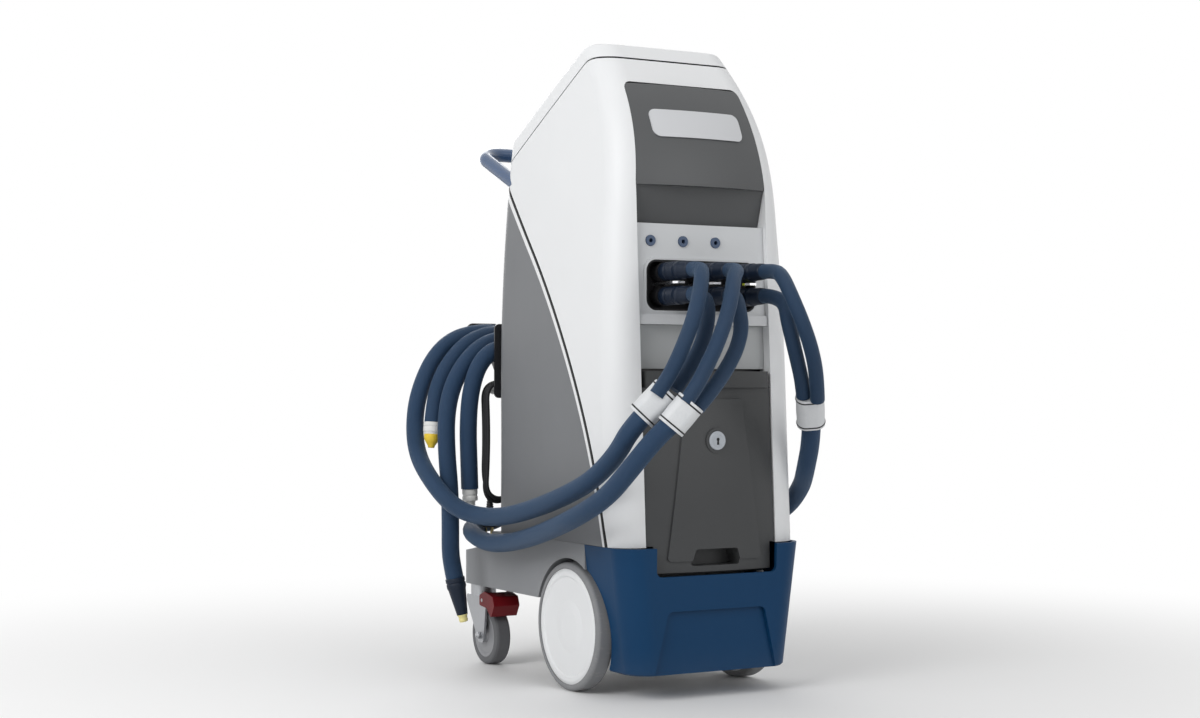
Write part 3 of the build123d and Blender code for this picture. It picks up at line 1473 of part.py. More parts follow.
def make_hose(name, number):
    """One twin hose from its label, over the hook, to its end."""
    plane = label_plane(number)
    start = Vector(*label_ends[number]) + plane.z_dir * cord_gap
    lead = start + plane.z_dir * hose_lead
    return cord_tube(f"hose {name}", [tuple(start), tuple(lead), *hose_points[name]], hose_width)


def make_hose_ends():
    """The three hoses' end fittings, each in line with its hose's last run."""
    ends = []
    for name, points in hose_points.items():
        end = Vector(*points[-1])
        axis = (end - Vector(*points[-2])).normalized()
        profile = tip_profiles[name]
        outline = make_face(Polyline([(0.0, 0.0), *profile, (0.0, profile[-1][1])], close=True))
        turned = revolve(Plane.XZ * outline, Axis.Z)
        ends.append(Plane(origin=end + axis * cord_gap, z_dir=axis).location * turned)
    return ends


def hank_side(low_z, high_z, side):
    """Points up one side of the hank, as (x from its middle, z)."""
    points = []
    for step in range(1, hank_side_runs):
        share = step / hank_side_runs
        x = side * (hank_half_width - hank_waist * math.sin(math.pi * share))
        points.append((x, low_z + share * (high_z - low_z)))
    return points


def hank_points():
    """The hank's turns: up one side, over, down the other and under, each turn further out."""
    reach = hank_half_width / math.cos(hank_corner_turn / 2)
    bend = hank_half_width * math.tan(hank_corner_turn / 2)
    top_z = hank_top_z - hank_half_width
    over = [(reach * math.cos(turn), top_z + reach * math.sin(turn)) for turn in hank_corner_turns]
    places = []
    for foot, next_foot in zip(hank_feet, (*hank_feet[1:], None)):
        low_z = foot + hank_half_width - bend
        places += hank_side(low_z, top_z + bend, 1) + over
        next_z = (next_foot or foot) + hank_half_width
        places += reversed(hank_side(next_z - bend, top_z + bend, -1))
        if next_foot:
            places += [(-reach * math.cos(t), next_z - reach * math.sin(t)) for t in hank_corner_turns]
    step = hank_pitch / (2 * len(hank_corner_turns) + 2 * (hank_side_runs - 1))
    return [(hank_x + x, hank_y + step * number, z) for number, (x, z) in enumerate(places)]


cord_connector_x = inlet_x - 12.25
cord_start_y = body_rear_y + inlet_flange + cord_gap + connector_length
cord_points_before = [
    (cord_connector_x, cord_start_y, inlet_z), (cord_connector_x, cord_start_y + 26.0, inlet_z),
    (cord_connector_x + 8.0, cord_start_y + 50.0, inlet_z - 16.0),
    (cord_connector_x + 28.0, cord_start_y + 50.0, inlet_z - 62.0), (124.0, 236.0, 474.0), (136.0, 206.0, 402.0),
    (136.0, 184.0, 330.0), (116.0, 172.0, 274.0), (60.0, 169.0, 247.0), (-20.0, 167.0, 243.0),
    (-76.0, 166.0, 247.0), (-103.0, 165.0, 258.0), (-121.0, 164.5, 282.0),
]
cord_points_after = [
    (plug_x - 8.0, plug_y, plug_top_z + 37.0), (plug_x, plug_y, plug_top_z + 20.0),
    (plug_x, plug_y, plug_top_z + cord_gap),
]


def least_gap(points, width):
    """The least gap between a tube and itself, from points along its straight runs."""
    samples = []
    for start, end in zip(points, points[1:]):
        for step in range(8):
            share = step / 8
            samples.append([a + share * (b - a) for a, b in zip(start, end)])
    gaps = [
        math.dist(one, other) - width
        for place, one in enumerate(samples) for other in samples[place + 40:]
    ]
    return min(gaps)


def make_power_cord():
    """The power cord from its connector, by the hank on the peg, to its plug."""
    turns = hank_points()
    print(f"hank: {len(hank_feet)} turns, least gap to itself {least_gap(turns, cord_width):.2f}")
    return cord_tube("power cord", cord_points_before + turns + cord_points_after, cord_width)


def make_cord_connector():
    """The cord's appliance connector, seated in the inlet."""
    x, z, wall_y = cord_connector_x, inlet_z, body_rear_y
    seat_y = wall_y + inlet_flange + cord_gap
    nose_x, nose_z = connector_nose_half
    nose = box(x - nose_x, x + nose_x, wall_y - connector_nose_length, seat_y, z - nose_z, z + nose_z)
    half_x, half_z = connector_half
    body = box(x - half_x, x + half_x, seat_y, seat_y + connector_body_length, z - half_z, z + half_z)
    body = fillet(body.edges().filter_by(Axis.Y), 3.0)
    relief = Pos(x, 0, z) * front_block(
        Circle(cord_width / 2 + 2.0), seat_y + connector_body_length, seat_y + connector_length
    )
    connector = nose + body + relief
    for pin in inlet_pins:
        connector -= inlet_pin(pin, 0.3, wall_y - connector_nose_length - 1.0, wall_y)
    return connector


def make_mains_plug():
    """The cord's mains plug with two flat pins and a round one."""
    foot_z = plug_top_z - plug_length
    profile = make_face(Polyline([
        (0.0, plug_top_z), (cord_width / 2 + 2.0, plug_top_z), (plug_radius - 3.0, plug_top_z - 12.0),
        (plug_radius, plug_top_z - 15.0), (plug_radius, foot_z), (0.0, foot_z),
    ], close=True))
    plug = revolve(Plane.XZ * profile, Axis.Z)
    for x in (-6.3, 6.3):
        plug += box(x - 0.8, x + 0.8, -1.0, 5.4, foot_z - plug_pin_length, foot_z)
    return Pos(plug_x, plug_y, 0) * (plug + rod(2.4, (0, -6.5, foot_z - plug_pin_length), (0, -6.5, foot_z)))


save("hose_connectors", Compound(children=make_connectors()))
save("hose_branches", Compound(children=make_branches()))
save("hose_labels", Compound(children=make_labels()))
for index, hose_name in enumerate(hose_points):
    save(f"hose_{hose_name}_main", make_hose(hose_name, index))
save("hose_ends", Compound(children=make_hose_ends()))
save("power_cord", make_power_cord())
save("power_cord_ends", Compound(children=[make_cord_connector(), make_mains_plug()]))
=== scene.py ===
"""Dresses the patient warming tower: its finishes, hoses, power cord and small fittings."""

import logging
import math
from dataclasses import dataclass
from enum import Enum
from typing import Callable, Protocol, Sequence, Union

import bmesh
import bpy
from mathutils import Matrix, Vector


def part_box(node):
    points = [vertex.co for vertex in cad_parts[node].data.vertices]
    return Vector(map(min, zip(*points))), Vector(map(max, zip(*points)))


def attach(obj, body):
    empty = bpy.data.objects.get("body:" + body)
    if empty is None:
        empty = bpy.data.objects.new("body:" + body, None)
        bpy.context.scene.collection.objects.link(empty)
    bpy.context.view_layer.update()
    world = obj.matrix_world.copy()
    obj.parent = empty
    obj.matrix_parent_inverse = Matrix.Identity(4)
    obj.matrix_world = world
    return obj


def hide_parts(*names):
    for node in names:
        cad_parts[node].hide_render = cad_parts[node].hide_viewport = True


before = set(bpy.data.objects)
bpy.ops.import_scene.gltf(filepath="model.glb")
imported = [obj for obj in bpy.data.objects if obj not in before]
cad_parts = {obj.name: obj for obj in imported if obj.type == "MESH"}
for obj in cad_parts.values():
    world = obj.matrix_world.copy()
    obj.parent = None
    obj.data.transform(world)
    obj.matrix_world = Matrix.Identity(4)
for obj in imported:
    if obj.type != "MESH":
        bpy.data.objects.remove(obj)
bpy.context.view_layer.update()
LOG = logging.getLogger("warming_tower")

Point = tuple[float, float, float]
Color = tuple[float, float, float]

BEVEL_ANGLE = math.radians(28.0)
SMOOTH_ANGLE = math.radians(38.0)
FULL_TURN = 2.0 * math.pi


class Gloss(Enum):
    """How rough a surface is."""

    MATT = 0.62
    SATIN = 0.42
    POLISHED = 0.24


class Tone:
    """Colours of the plastics and metals, as linear light."""

    WHITE = (0.79, 0.80, 0.81)
    SIDE_GREY = (0.180, 0.186, 0.195)
    COVER_GREY = (0.235, 0.242, 0.254)
    FASCIA_GREY = (0.090, 0.093, 0.096)
    DRAWER_GREY = (0.054, 0.056, 0.058)
    PANEL_GREY = (0.62, 0.635, 0.65)
    LOWER_GREY = (0.44, 0.455, 0.46)
    BUMPER_BLUE = (0.004, 0.040, 0.108)
    HANDLE_BLUE = (0.032, 0.078, 0.175)
    HOSE_BLUE = (0.015, 0.044, 0.098)
    BRANCH_BLUE = (0.012, 0.036, 0.080)
    NAVY = (0.007, 0.014, 0.030)
    BLACK = (0.014, 0.014, 0.016)
    # Painted shadow: near black standing for the shadow in the seam gaps, used on the trim strips and on
    # the cap gasket.
    PAINTED_GAP_SHADOW = (0.008, 0.008, 0.009)
    TYRE = (0.225, 0.229, 0.238)
    CASTER_TREAD = (0.125, 0.128, 0.136)
    CASTER_HUB = (0.30, 0.305, 0.32)
    RED = (0.17, 0.006, 0.010)
    YELLOW = (0.78, 0.56, 0.05)
    PALE_YELLOW = (0.80, 0.72, 0.32)
    STEEL = (0.58, 0.585, 0.60)
    ZINC = (0.50, 0.51, 0.53)
    COPPER = (0.72, 0.34, 0.18)
    BOARD_GREEN = (0.012, 0.10, 0.045)
    TANK = (0.66, 0.70, 0.72)
    BUTTON = (0.46, 0.49, 0.53)
    BADGE = (0.60, 0.61, 0.63)
    JACK_BLUE = (0.05, 0.085, 0.16)
    FITTING_WHITE = (0.74, 0.74, 0.72)
    CHASSIS_GREY = (0.055, 0.056, 0.060)
    COMPRESSOR_BLACK = (0.016, 0.016, 0.018)
    HOOK_BLACK = (0.018, 0.018, 0.020)
    FOLDED_SHEET = (0.55, 0.555, 0.57)
    BRASS = (0.70, 0.58, 0.30)
    CARD_LOW = (0.58, 0.60, 0.62)
    CARD_HIGH = (0.72, 0.73, 0.74)
    CARD_THUMBED = (0.46, 0.49, 0.53)
    GLASS_LOW = (0.012, 0.014, 0.018)
    GLASS_HIGH = (0.020, 0.023, 0.028)
    SCREEN_FRAME = (0.05, 0.052, 0.058)
    DUST = (0.30, 0.29, 0.27)
    SCUFF = (0.34, 0.33, 0.31)
    THREAD_SHEEN = (0.5, 0.66, 0.85)
    MARK_PAINT = (0.55, 0.62, 0.05)


class Signal:
    """A shader value that takes part in ordinary arithmetic."""

    def __init__(self, shader: "Shader", socket: bpy.types.NodeSocket) -> None:
        """Wraps one output socket of a shader.

        Args:
            shader: The shader that owns the socket.
            socket: The output socket.
        """
        self.shader = shader
        self.socket = socket

    def _math(self, operation: str, left: "Value", right: "Value") -> "Signal":
        """Adds one Math node."""
        return self.shader.node("ShaderNodeMath", {"operation": operation}, {0: left, 1: right})

    def __add__(self, other: "Value") -> "Signal":
        """Sum."""
        return self._math("ADD", self, other)

    def __radd__(self, other: "Value") -> "Signal":
        """Sum with a number on the left."""
        return self._math("ADD", other, self)

    def __sub__(self, other: "Value") -> "Signal":
        """Difference."""
        return self._math("SUBTRACT", self, other)

    def __rsub__(self, other: "Value") -> "Signal":
        """Difference with a number on the left."""
        return self._math("SUBTRACT", other, self)

    def __mul__(self, other: "Value") -> "Signal":
        """Product."""
        return self._math("MULTIPLY", self, other)

    def __gt__(self, other: "Value") -> "Signal":
        """One where this is more than the other, and zero elsewhere."""
        return self._math("GREATER_THAN", self, other)

    def __lt__(self, other: "Value") -> "Signal":
        """One where this is less than the other, and zero elsewhere."""
        return self._math("LESS_THAN", self, other)

    def __pow__(self, other: "Value") -> "Signal":
        """Power."""
        return self._math("POWER", self, other)

    def sine(self) -> "Signal":
        """Sine of the value in radians."""
        return self._math("SINE", self, 0.0)

    def size(self) -> "Signal":
        """Absolute value."""
        return self._math("ABSOLUTE", self, 0.0)

    def between(self, low: float, high: float) -> "Signal":
        """A smooth step from 0 at one value to 1 at another.

        Args:
            low: Where the step starts.
            high: Where the step ends.

        Returns:
            The step, from 0 to 1.
        """
        return self.shader.node(
            "ShaderNodeMapRange", {"interpolation_type": "SMOOTHSTEP"},
            {"Value": self, "From Min": low, "From Max": high},
        )


Value = Union[Signal, float]


class Shader:
    """One material's nodes round its Principled shader."""

    def __init__(self, name: str) -> None:
        """Makes an empty material.

        Args:
            name: The material's name.
        """
        self.material = bpy.data.materials.new(name)
        self.material.use_nodes = True
        self.tree = self.material.node_tree
        self.surface = self.tree.nodes["Principled BSDF"]

    def feed(self, socket: bpy.types.NodeSocket, value: object) -> None:
        """Links a signal to an input socket, or sets its number or colour.

        Args:
            socket: The input socket.
            value: The signal, number or colour.
        """
        if isinstance(value, Signal):
            self.tree.links.new(value.socket, socket)
        else:
            socket.default_value = value

    def node(self, kind: str, settings: dict, inputs: dict, output: Union[int, str] = 0) -> Signal:
        """Adds any node.

        Args:
            kind: The node's type.
            settings: Its properties, and stops for a ramp, set before its inputs.
            inputs: Values or signals by the input's name or number.
            output: The output that is returned.

        Returns:
            The chosen output.
        """
        node = self.tree.nodes.new(kind)
        for key, value in settings.items():
            if key == "stops":
                ramp = node.color_ramp.elements
                for place, (position, color) in enumerate(value):
                    stop = ramp[place] if place < len(ramp) else ramp.new(position)
                    stop.position, stop.color = position, (*color, 1.0)
            else:
                setattr(node, key, value)
        for key, value in inputs.items():
            self.feed(node.inputs[key], value)
        return Signal(self, node.outputs[output])

    def place(self) -> Signal:
        """The point's place in metres."""
        return self.node("ShaderNodeTexCoord", {}, {}, "Object")

    def axes(self) -> tuple[Signal, Signal, Signal]:
        """The point's three coordinates in metres."""
        place = self.place()
        return tuple(self.node("ShaderNodeSeparateXYZ", {}, {0: place}, axis) for axis in range(3))

    def along(self) -> tuple[Signal, Signal]:
        """How far along a tube and how far round it the point is, each from 0 to 1."""
        place = self.node("ShaderNodeTexCoord", {}, {}, "UV")
        return tuple(self.node("ShaderNodeSeparateXYZ", {}, {0: place}, axis) for axis in range(2))

    def noise(self, scale: float, detail: float = 3.0, stretch: Point = (1.0, 1.0, 1.0)) -> Signal:
        """Cloudy noise from 0 to 1.

        Args:
            scale: Clouds in a metre.
            detail: Octaves.
            stretch: Factors on the three axes.

        Returns:
            The noise.
        """
        place = self.place()
        if stretch != (1.0, 1.0, 1.0):
            place = self.node("ShaderNodeMapping", {}, {"Vector": place, "Scale": stretch})
        return self.node("ShaderNodeTexNoise", {}, {"Vector": place, "Scale": scale, "Detail": detail})

    def cells(self, scale: float) -> Signal:
        """Distance to the nearest cell's middle, for a moulded grain."""
        return self.node("ShaderNodeTexVoronoi", {}, {"Vector": self.place(), "Scale": scale})

    def mix(self, share: Value, first: object, second: object) -> Signal:
        """A blend of two colours.

        Args:
            share: How much of the second colour there is.
            first: The colour at share 0.
            second: The colour at share 1.

        Returns:
            The blend.
        """
        first = (*first, 1.0) if isinstance(first, tuple) else first
        second = (*second, 1.0) if isinstance(second, tuple) else second
        return self.node("ShaderNodeMix", {"data_type": "RGBA"}, {0: share, 6: first, 7: second}, 2)

    def relief(self, height: Value, depth: float, strength: float = 1.0) -> None:
        """Gives the surface a relief.

        Args:
            height: The relief, from 0 to 1.
            depth: How deep it is, in metres.
            strength: How much of it shows.
        """
        bump = self.node("ShaderNodeBump", {}, {
            "Height": height, "Distance": depth, "Strength": strength,
        })
        self.feed(self.surface.inputs["Normal"], bump)

    def dress(self, **sockets: object) -> bpy.types.Material:
        """Feeds the Principled shader's sockets.

        Args:
            sockets: Values by the socket's name, with _ for a space.

        Returns:
            The finished material.
        """
        for name, value in sockets.items():
            if isinstance(value, tuple) and len(value) == 3:
                value = (*value, 1.0)
            self.feed(self.surface.inputs[name.replace("_", " ")], value)
        return self.material


class Coating(Protocol):
    """A finish: anything that can make its own material."""

    def build(self) -> bpy.types.Material:
        """Makes the material."""


def shade(color: Color, factor: float) -> Color:
    """A colour made lighter or darker."""
    return tuple(min(1.0, part * factor) for part in color)


@dataclass(frozen=True)
class Moulding:
    """Moulded plastic with a fine grain, faint clouding and a little dust low down.

    Attributes:
        name: The finish's name.
        color: Its colour.
        gloss: How rough it is.
        grain: Grain cells in a metre.
        depth: Depth of the grain in metres.
        clouding: How much the colour varies.
        coat: Weight of a clear coat.
        shine: Strength of its reflection.
    """

    name: str
    color: Color
    gloss: Gloss = Gloss.SATIN
    grain: float = 1400.0
    depth: float = 0.00006
    clouding: float = 0.05
    coat: float = 0.0
    shine: float = 0.3

    def build(self) -> bpy.types.Material:
        """Makes the material."""
        shader = Shader(self.name)
        clouds = shader.noise(7.0, 4.0)
        rubs = shader.noise(38.0, 5.0, (1.0, 1.0, 0.35))
        dust = (1.0 - shader.axes()[2].between(0.0, 0.09)) * shader.noise(26.0, 5.0)
        low, high = 1.0 - self.clouding, 1.0 + self.clouding
        body = shader.mix(clouds, shade(self.color, low), shade(self.color, high))
        tone = shader.mix(dust * 0.08, body, Tone.DUST)
        grain = shader.cells(self.grain) + shader.noise(self.grain * 2.3, 2.0) * 0.5
        shader.relief(grain, self.depth, 0.7)
        rough = self.gloss.value - 0.05 + rubs * 0.10 + dust * 0.12
        return shader.dress(
            Base_Color=tone, Roughness=rough, Specular_IOR_Level=self.shine, Coat_Weight=self.coat,
            Coat_Roughness=0.18,
        )


@dataclass(frozen=True)
class Sheeting:
    """Metal with a drawn or rolled texture.

    Attributes:
        name: The finish's name.
        color: Its colour.
        gloss: How rough it is.
        drawn: Stretch of the texture on the three axes.
        lines: Marks in a metre across the drawing.
    """

    name: str
    color: Color
    gloss: Gloss = Gloss.SATIN
    drawn: Point = (1.0, 1.0, 0.06)
    lines: float = 900.0

    def build(self) -> bpy.types.Material:
        """Makes the material."""
        shader = Shader(self.name)
        streaks = shader.noise(self.lines, 3.0, self.drawn)
        stain = shader.noise(14.0, 5.0)
        tone = shader.mix(streaks * 0.6 + stain * 0.4, shade(self.color, 0.78), shade(self.color, 1.12))
        shader.relief(streaks, 0.00004, 0.5)
        rough = self.gloss.value - 0.1 + streaks * 0.16 + stain * 0.08
        return shader.dress(Base_Color=tone, Metallic=1.0, Roughness=rough)


@dataclass(frozen=True)
class Lacquer:
    """Paint on metal, with a faint orange peel under its gloss.

    Attributes:
        name: The finish's name.
        color: Its colour.
        gloss: How rough it is.
        peel: Ripples in a metre.
    """

    name: str
    color: Color
    gloss: Gloss = Gloss.POLISHED
    peel: float = 420.0

    def build(self) -> bpy.types.Material:
        """Makes the material."""
        shader = Shader(self.name)
        clouds = shader.noise(16.0, 4.0)
        tone = shader.mix(clouds, shade(self.color, 0.93), shade(self.color, 1.07))
        shader.relief(shader.noise(self.peel, 2.0), 0.0001, 0.35)
        rough = self.gloss.value - 0.04 + shader.noise(60.0, 5.0) * 0.1
        return shader.dress(Base_Color=tone, Roughness=rough, Coat_Weight=0.35, Coat_Roughness=0.12)


@dataclass(frozen=True)
class Tread:
    """Rubber or soft plastic of a tyre, with dust that gathers where it rolls.

    Attributes:
        name: The finish's name.
        color: Its colour.
    """

    name: str
    color: Color

    def build(self) -> bpy.types.Material:
        """Makes the material."""
        shader = Shader(self.name)
        clouds = shader.noise(30.0, 5.0)
        scuffs = shader.noise(240.0, 4.0, (0.3, 1.0, 1.0)).between(0.52, 0.75)
        tone = shader.mix(clouds, shade(self.color, 0.85), shade(self.color, 1.1))
        tone = shader.mix(scuffs * 0.35, tone, Tone.SCUFF)
        shader.relief(shader.noise(1100.0, 3.0) + scuffs * 0.4, 0.00012, 0.6)
        return shader.dress(Base_Color=tone, Roughness=0.58 + clouds * 0.15)


@dataclass(frozen=True)
class Sleeve:
    """Braided sleeve of a hose or the smooth jacket of a lead, with painted highlight on the weave's crowns
    and painted shade in its hollows.

    Attributes:
        name: The finish's name.
        color: Its colour.
        threads: Threads round the tube.
        rows: Rows of threads along it.
        depth: Height of the braid in metres.
        sheen: Weight of the threads' sheen.
    """

    name: str
    color: Color
    threads: float
    rows: float
    depth: float
    sheen: float = 0.25

    def build(self) -> bpy.types.Material:
        """Makes the material."""
        shader = Shader(self.name)
        run, turn = shader.along()
        lengthwise, around = run * (self.rows * FULL_TURN), turn * (self.threads * FULL_TURN)
        one = (lengthwise + around).sine()
        other = (lengthwise - around).sine()
        braid = one * other * 0.5 + 0.5
        wear = shader.noise(24.0, 5.0)
        # Painted highlight and shade: the weave is painted lighter on its crowns and darker in its hollows,
        # mixed with real wear.
        tone = shader.mix(braid * 0.7 + wear * 0.3, shade(self.color, 0.72), shade(self.color, 1.3))
        shader.relief(braid + shader.noise(900.0, 2.0) * 0.3, self.depth, 0.8)
        return shader.dress(
            Base_Color=tone, Roughness=0.5 + wear * 0.16, Specular_IOR_Level=0.3, Sheen_Weight=self.sheen,
            Sheen_Roughness=0.35, Sheen_Tint=Tone.THREAD_SHEEN,
        )


@dataclass(frozen=True)
class CardFinish:
    """White label stock: faint fibres, and a thumbed tone in patches."""

    name: str = "label_card"

    def build(self) -> bpy.types.Material:
        """Makes the material."""
        shader = Shader(self.name)
        fibre = shader.noise(700.0, 4.0)
        smudge = shader.noise(46.0, 5.0).between(0.5, 0.8)
        tone = shader.mix(fibre, Tone.CARD_LOW, Tone.CARD_HIGH)
        tone = shader.mix(smudge * 0.35, tone, Tone.CARD_THUMBED)
        shader.relief(fibre + shader.noise(90.0, 2.0) * 0.8, 0.0002, 0.5)
        return shader.dress(Base_Color=tone, Roughness=0.5 + smudge * 0.1)


@dataclass(frozen=True)
class ScreenFinish:
    """The screen: dark glass inside a satin frame, told apart by place on the sloping face.

    Attributes:
        slope: Slope of the screen in radians.
        middle: Its middle, (y, z), in metres.
        half: Half of the glass's width and length in metres.
    """

    slope: float
    middle: tuple[float, float]
    half: tuple[float, float]

    def build(self) -> bpy.types.Material:
        """Makes the material."""
        shader = Shader("screen_glass")
        across, y, z = shader.axes()
        down = (y - self.middle[0]) * math.cos(self.slope) - (z - self.middle[1]) * math.sin(self.slope)
        inside = (across.size() < self.half[0]) * (down.size() < self.half[1])
        film = shader.noise(18.0, 5.0)
        glass = shader.mix(film, Tone.GLASS_LOW, Tone.GLASS_HIGH)
        tone = shader.mix(inside, Tone.SCREEN_FRAME, glass)
        shader.relief(shader.noise(900.0, 2.0) * (1.0 - inside), 0.00006, 0.5)
        rough = 0.44 - inside * 0.37 + film * 0.05
        return shader.dress(Base_Color=tone, Roughness=rough, Coat_Weight=inside * 0.6, Coat_Roughness=0.03)


@dataclass(frozen=True)
class StripFinish:
    """White strip with a black band of painted gap shadow along its front edge, told apart by distance from
    the trim line.

    Attributes:
        top: Upper end of the line, (y, z), in metres.
        knee: Where its arc starts.
        foot: Lower end of the arc.
        gap_shadow: Width at the knee of the black band of painted gap shadow.
        flare: How much wider it gets for each metre further down.
    """

    top: tuple[float, float] = (0.156, 0.852)
    knee: tuple[float, float] = (0.019, 0.706)
    foot: tuple[float, float] = (-0.248, 0.190)
    gap_shadow: float = 0.0066
    flare: float = 0.0030

    def build(self) -> bpy.types.Material:
        """Makes the material."""
        run = (Vector(self.knee) - Vector(self.top)).normalized()
        inward = Vector((-run.y, run.x))
        chord = Vector(self.foot) - Vector(self.knee)
        radius = chord.length_squared / (2.0 * chord.dot(inward))
        middle = Vector(self.knee) + inward * radius
        shader = Shader("trim_strip_and_painted_gap_shadow")
        _, y, z = shader.axes()
        beside_arc = abs(radius) - ((y - middle.x) ** 2.0 + (z - middle.y) ** 2.0) ** 0.5
        side = math.copysign(1.0, radius)
        beside_line = ((y - self.knee[0]) * inward.x + (z - self.knee[1]) * inward.y) * side
        upper = z > self.knee[1]
        depth = upper * beside_line + (1.0 - upper) * beside_arc
        # Painted shadow: a black band along the trim line stands for the shadow in the seam gap and widens
        # further down.
        gap_shadow = depth < (self.knee[1] - z) * self.flare + self.gap_shadow
        clouds = shader.noise(9.0, 4.0)
        white = shader.mix(clouds, shade(Tone.WHITE, 0.96), shade(Tone.WHITE, 1.03))
        shader.relief(shader.cells(1500.0) * (1.0 - gap_shadow * 0.6), 0.00005, 0.6)
        return shader.dress(Base_Color=shader.mix(gap_shadow, white, Tone.PAINTED_GAP_SHADOW), Roughness=0.38 + gap_shadow * 0.22)


@dataclass(frozen=True)
class RolledFinish:
    """A caster's wheel: a dark tread round a paler hub, told apart by distance from the axle.

    Attributes:
        name: The finish's name.
        middle: The axle, (y, z), in metres.
        edge: Radius where the tread starts.
        blur: Half of the width over which the tread turns into the hub.
    """

    name: str
    middle: tuple[float, float]
    edge: float = 0.0375
    blur: float = 0.0004

    def build(self) -> bpy.types.Material:
        """Makes the material."""
        shader = Shader(self.name)
        _, y, z = shader.axes()
        reach = ((y - self.middle[0]) ** 2.0 + (z - self.middle[1]) ** 2.0) ** 0.5
        tread = reach.between(self.edge - self.blur, self.edge + self.blur)
        clouds = shader.noise(34.0, 5.0)
        rubber = shader.mix(clouds, shade(Tone.CASTER_TREAD, 0.8), shade(Tone.CASTER_TREAD, 1.2))
        hub = shader.mix(clouds, shade(Tone.CASTER_HUB, 0.93), shade(Tone.CASTER_HUB, 1.05))
        shader.relief(shader.noise(1000.0, 3.0), 0.0001, 0.5)
        rough = 0.4 + tread * 0.2 + clouds * 0.1
        return shader.dress(Base_Color=shader.mix(tread, hub, rubber), Roughness=rough)


@dataclass(frozen=True)
class TankFinish:
    """Milky moulded plastic that lets a little light through, with faint water marks."""

    name: str = "tank_plastic"

    def build(self) -> bpy.types.Material:
        """Makes the material."""
        shader = Shader(self.name)
        marks = shader.noise(20.0, 5.0, (1.0, 1.0, 0.3))
        tone = shader.mix(marks, shade(Tone.TANK, 0.93), shade(Tone.TANK, 1.05))
        shader.relief(shader.noise(500.0, 2.0), 0.00008, 0.4)
        return shader.dress(
            Base_Color=tone, Roughness=0.26 + marks * 0.12, Subsurface_Weight=0.12, Subsurface_Scale=0.01
        )


@dataclass(frozen=True)
class FinFinish:
    """The condenser: aluminium fins with a copper glint where its tubes pass.

    Attributes:
        name: The finish's name.
        pitch: Distance between two tubes in metres.
    """

    name: str = "fins_and_tubes"
    pitch: float = 0.028

    def build(self) -> bpy.types.Material:
        """Makes the material."""
        shader = Shader(self.name)
        _, _, height = shader.axes()
        tubes = (height * (FULL_TURN / self.pitch)).sine().between(0.86, 0.95)
        dust = shader.noise(60.0, 5.0)
        fins = shader.mix(dust, shade(Tone.STEEL, 0.75), shade(Tone.STEEL, 1.05))
        shader.relief(shader.noise(800.0, 3.0), 0.00006, 0.5)
        tone = shader.mix(tubes, fins, Tone.COPPER)
        return shader.dress(Base_Color=tone, Metallic=1.0, Roughness=0.3 + dust * 0.2)


@dataclass(frozen=True)
class BoardFinish:
    """A circuit board: green lacquer with fine raised tracks."""

    name: str = "circuit_board"

    def build(self) -> bpy.types.Material:
        """Makes the material."""
        shader = Shader(self.name)
        tracks = shader.node("ShaderNodeTexWave", {"wave_profile": "TRI"}, {
            "Vector": shader.place(), "Scale": 160.0, "Distortion": 5.0, "Detail": 2.0,
        }, 1).between(0.6, 0.75)
        tone = shader.mix(tracks, Tone.BOARD_GREEN, shade(Tone.BOARD_GREEN, 2.2))
        shader.relief(tracks, 0.0001, 0.6)
        return shader.dress(Base_Color=tone, Roughness=0.3 + shader.noise(50.0) * 0.1, Coat_Weight=0.3)


@dataclass(frozen=True)
class LatchFinish:
    """Thin bright steel tongue; the third one carries a spot of paint as its mark.

    Attributes:
        name: The finish's name.
        marked: True for the tongue with the mark.
        mark: Where the mark starts and ends along Y, in metres.
    """

    name: str
    marked: bool = False
    mark: tuple[float, float] = (-0.2805, -0.274)

    def build(self) -> bpy.types.Material:
        """Makes the material."""
        shader = Shader(self.name)
        streaks = shader.noise(1200.0, 3.0, (0.05, 1.0, 1.0))
        tone = shader.mix(streaks, shade(Tone.STEEL, 1.1), shade(Tone.STEEL, 1.45))
        metal = 1.0
        if self.marked:
            _, y, _ = shader.axes()
            spot = (y < self.mark[1]) * (y > self.mark[0])
            tone = shader.mix(spot, tone, Tone.MARK_PAINT)
            metal = 1.0 - spot
        shader.relief(streaks, 0.00003, 0.5)
        return shader.dress(Base_Color=tone, Metallic=metal, Roughness=0.2 + streaks * 0.12)


class Palette:
    """The finishes, each made once."""

    def __init__(self) -> None:
        """Starts with no material."""
        self.made: dict[Coating, bpy.types.Material] = {}

    def __call__(self, finish: Coating) -> bpy.types.Material:
        """The finish's material, made when it is first asked for.

        Args:
            finish: The finish.

        Returns:
            Its material.
        """
        if finish not in self.made:
            self.made[finish] = finish.build()
        return self.made[finish]


palette = Palette()


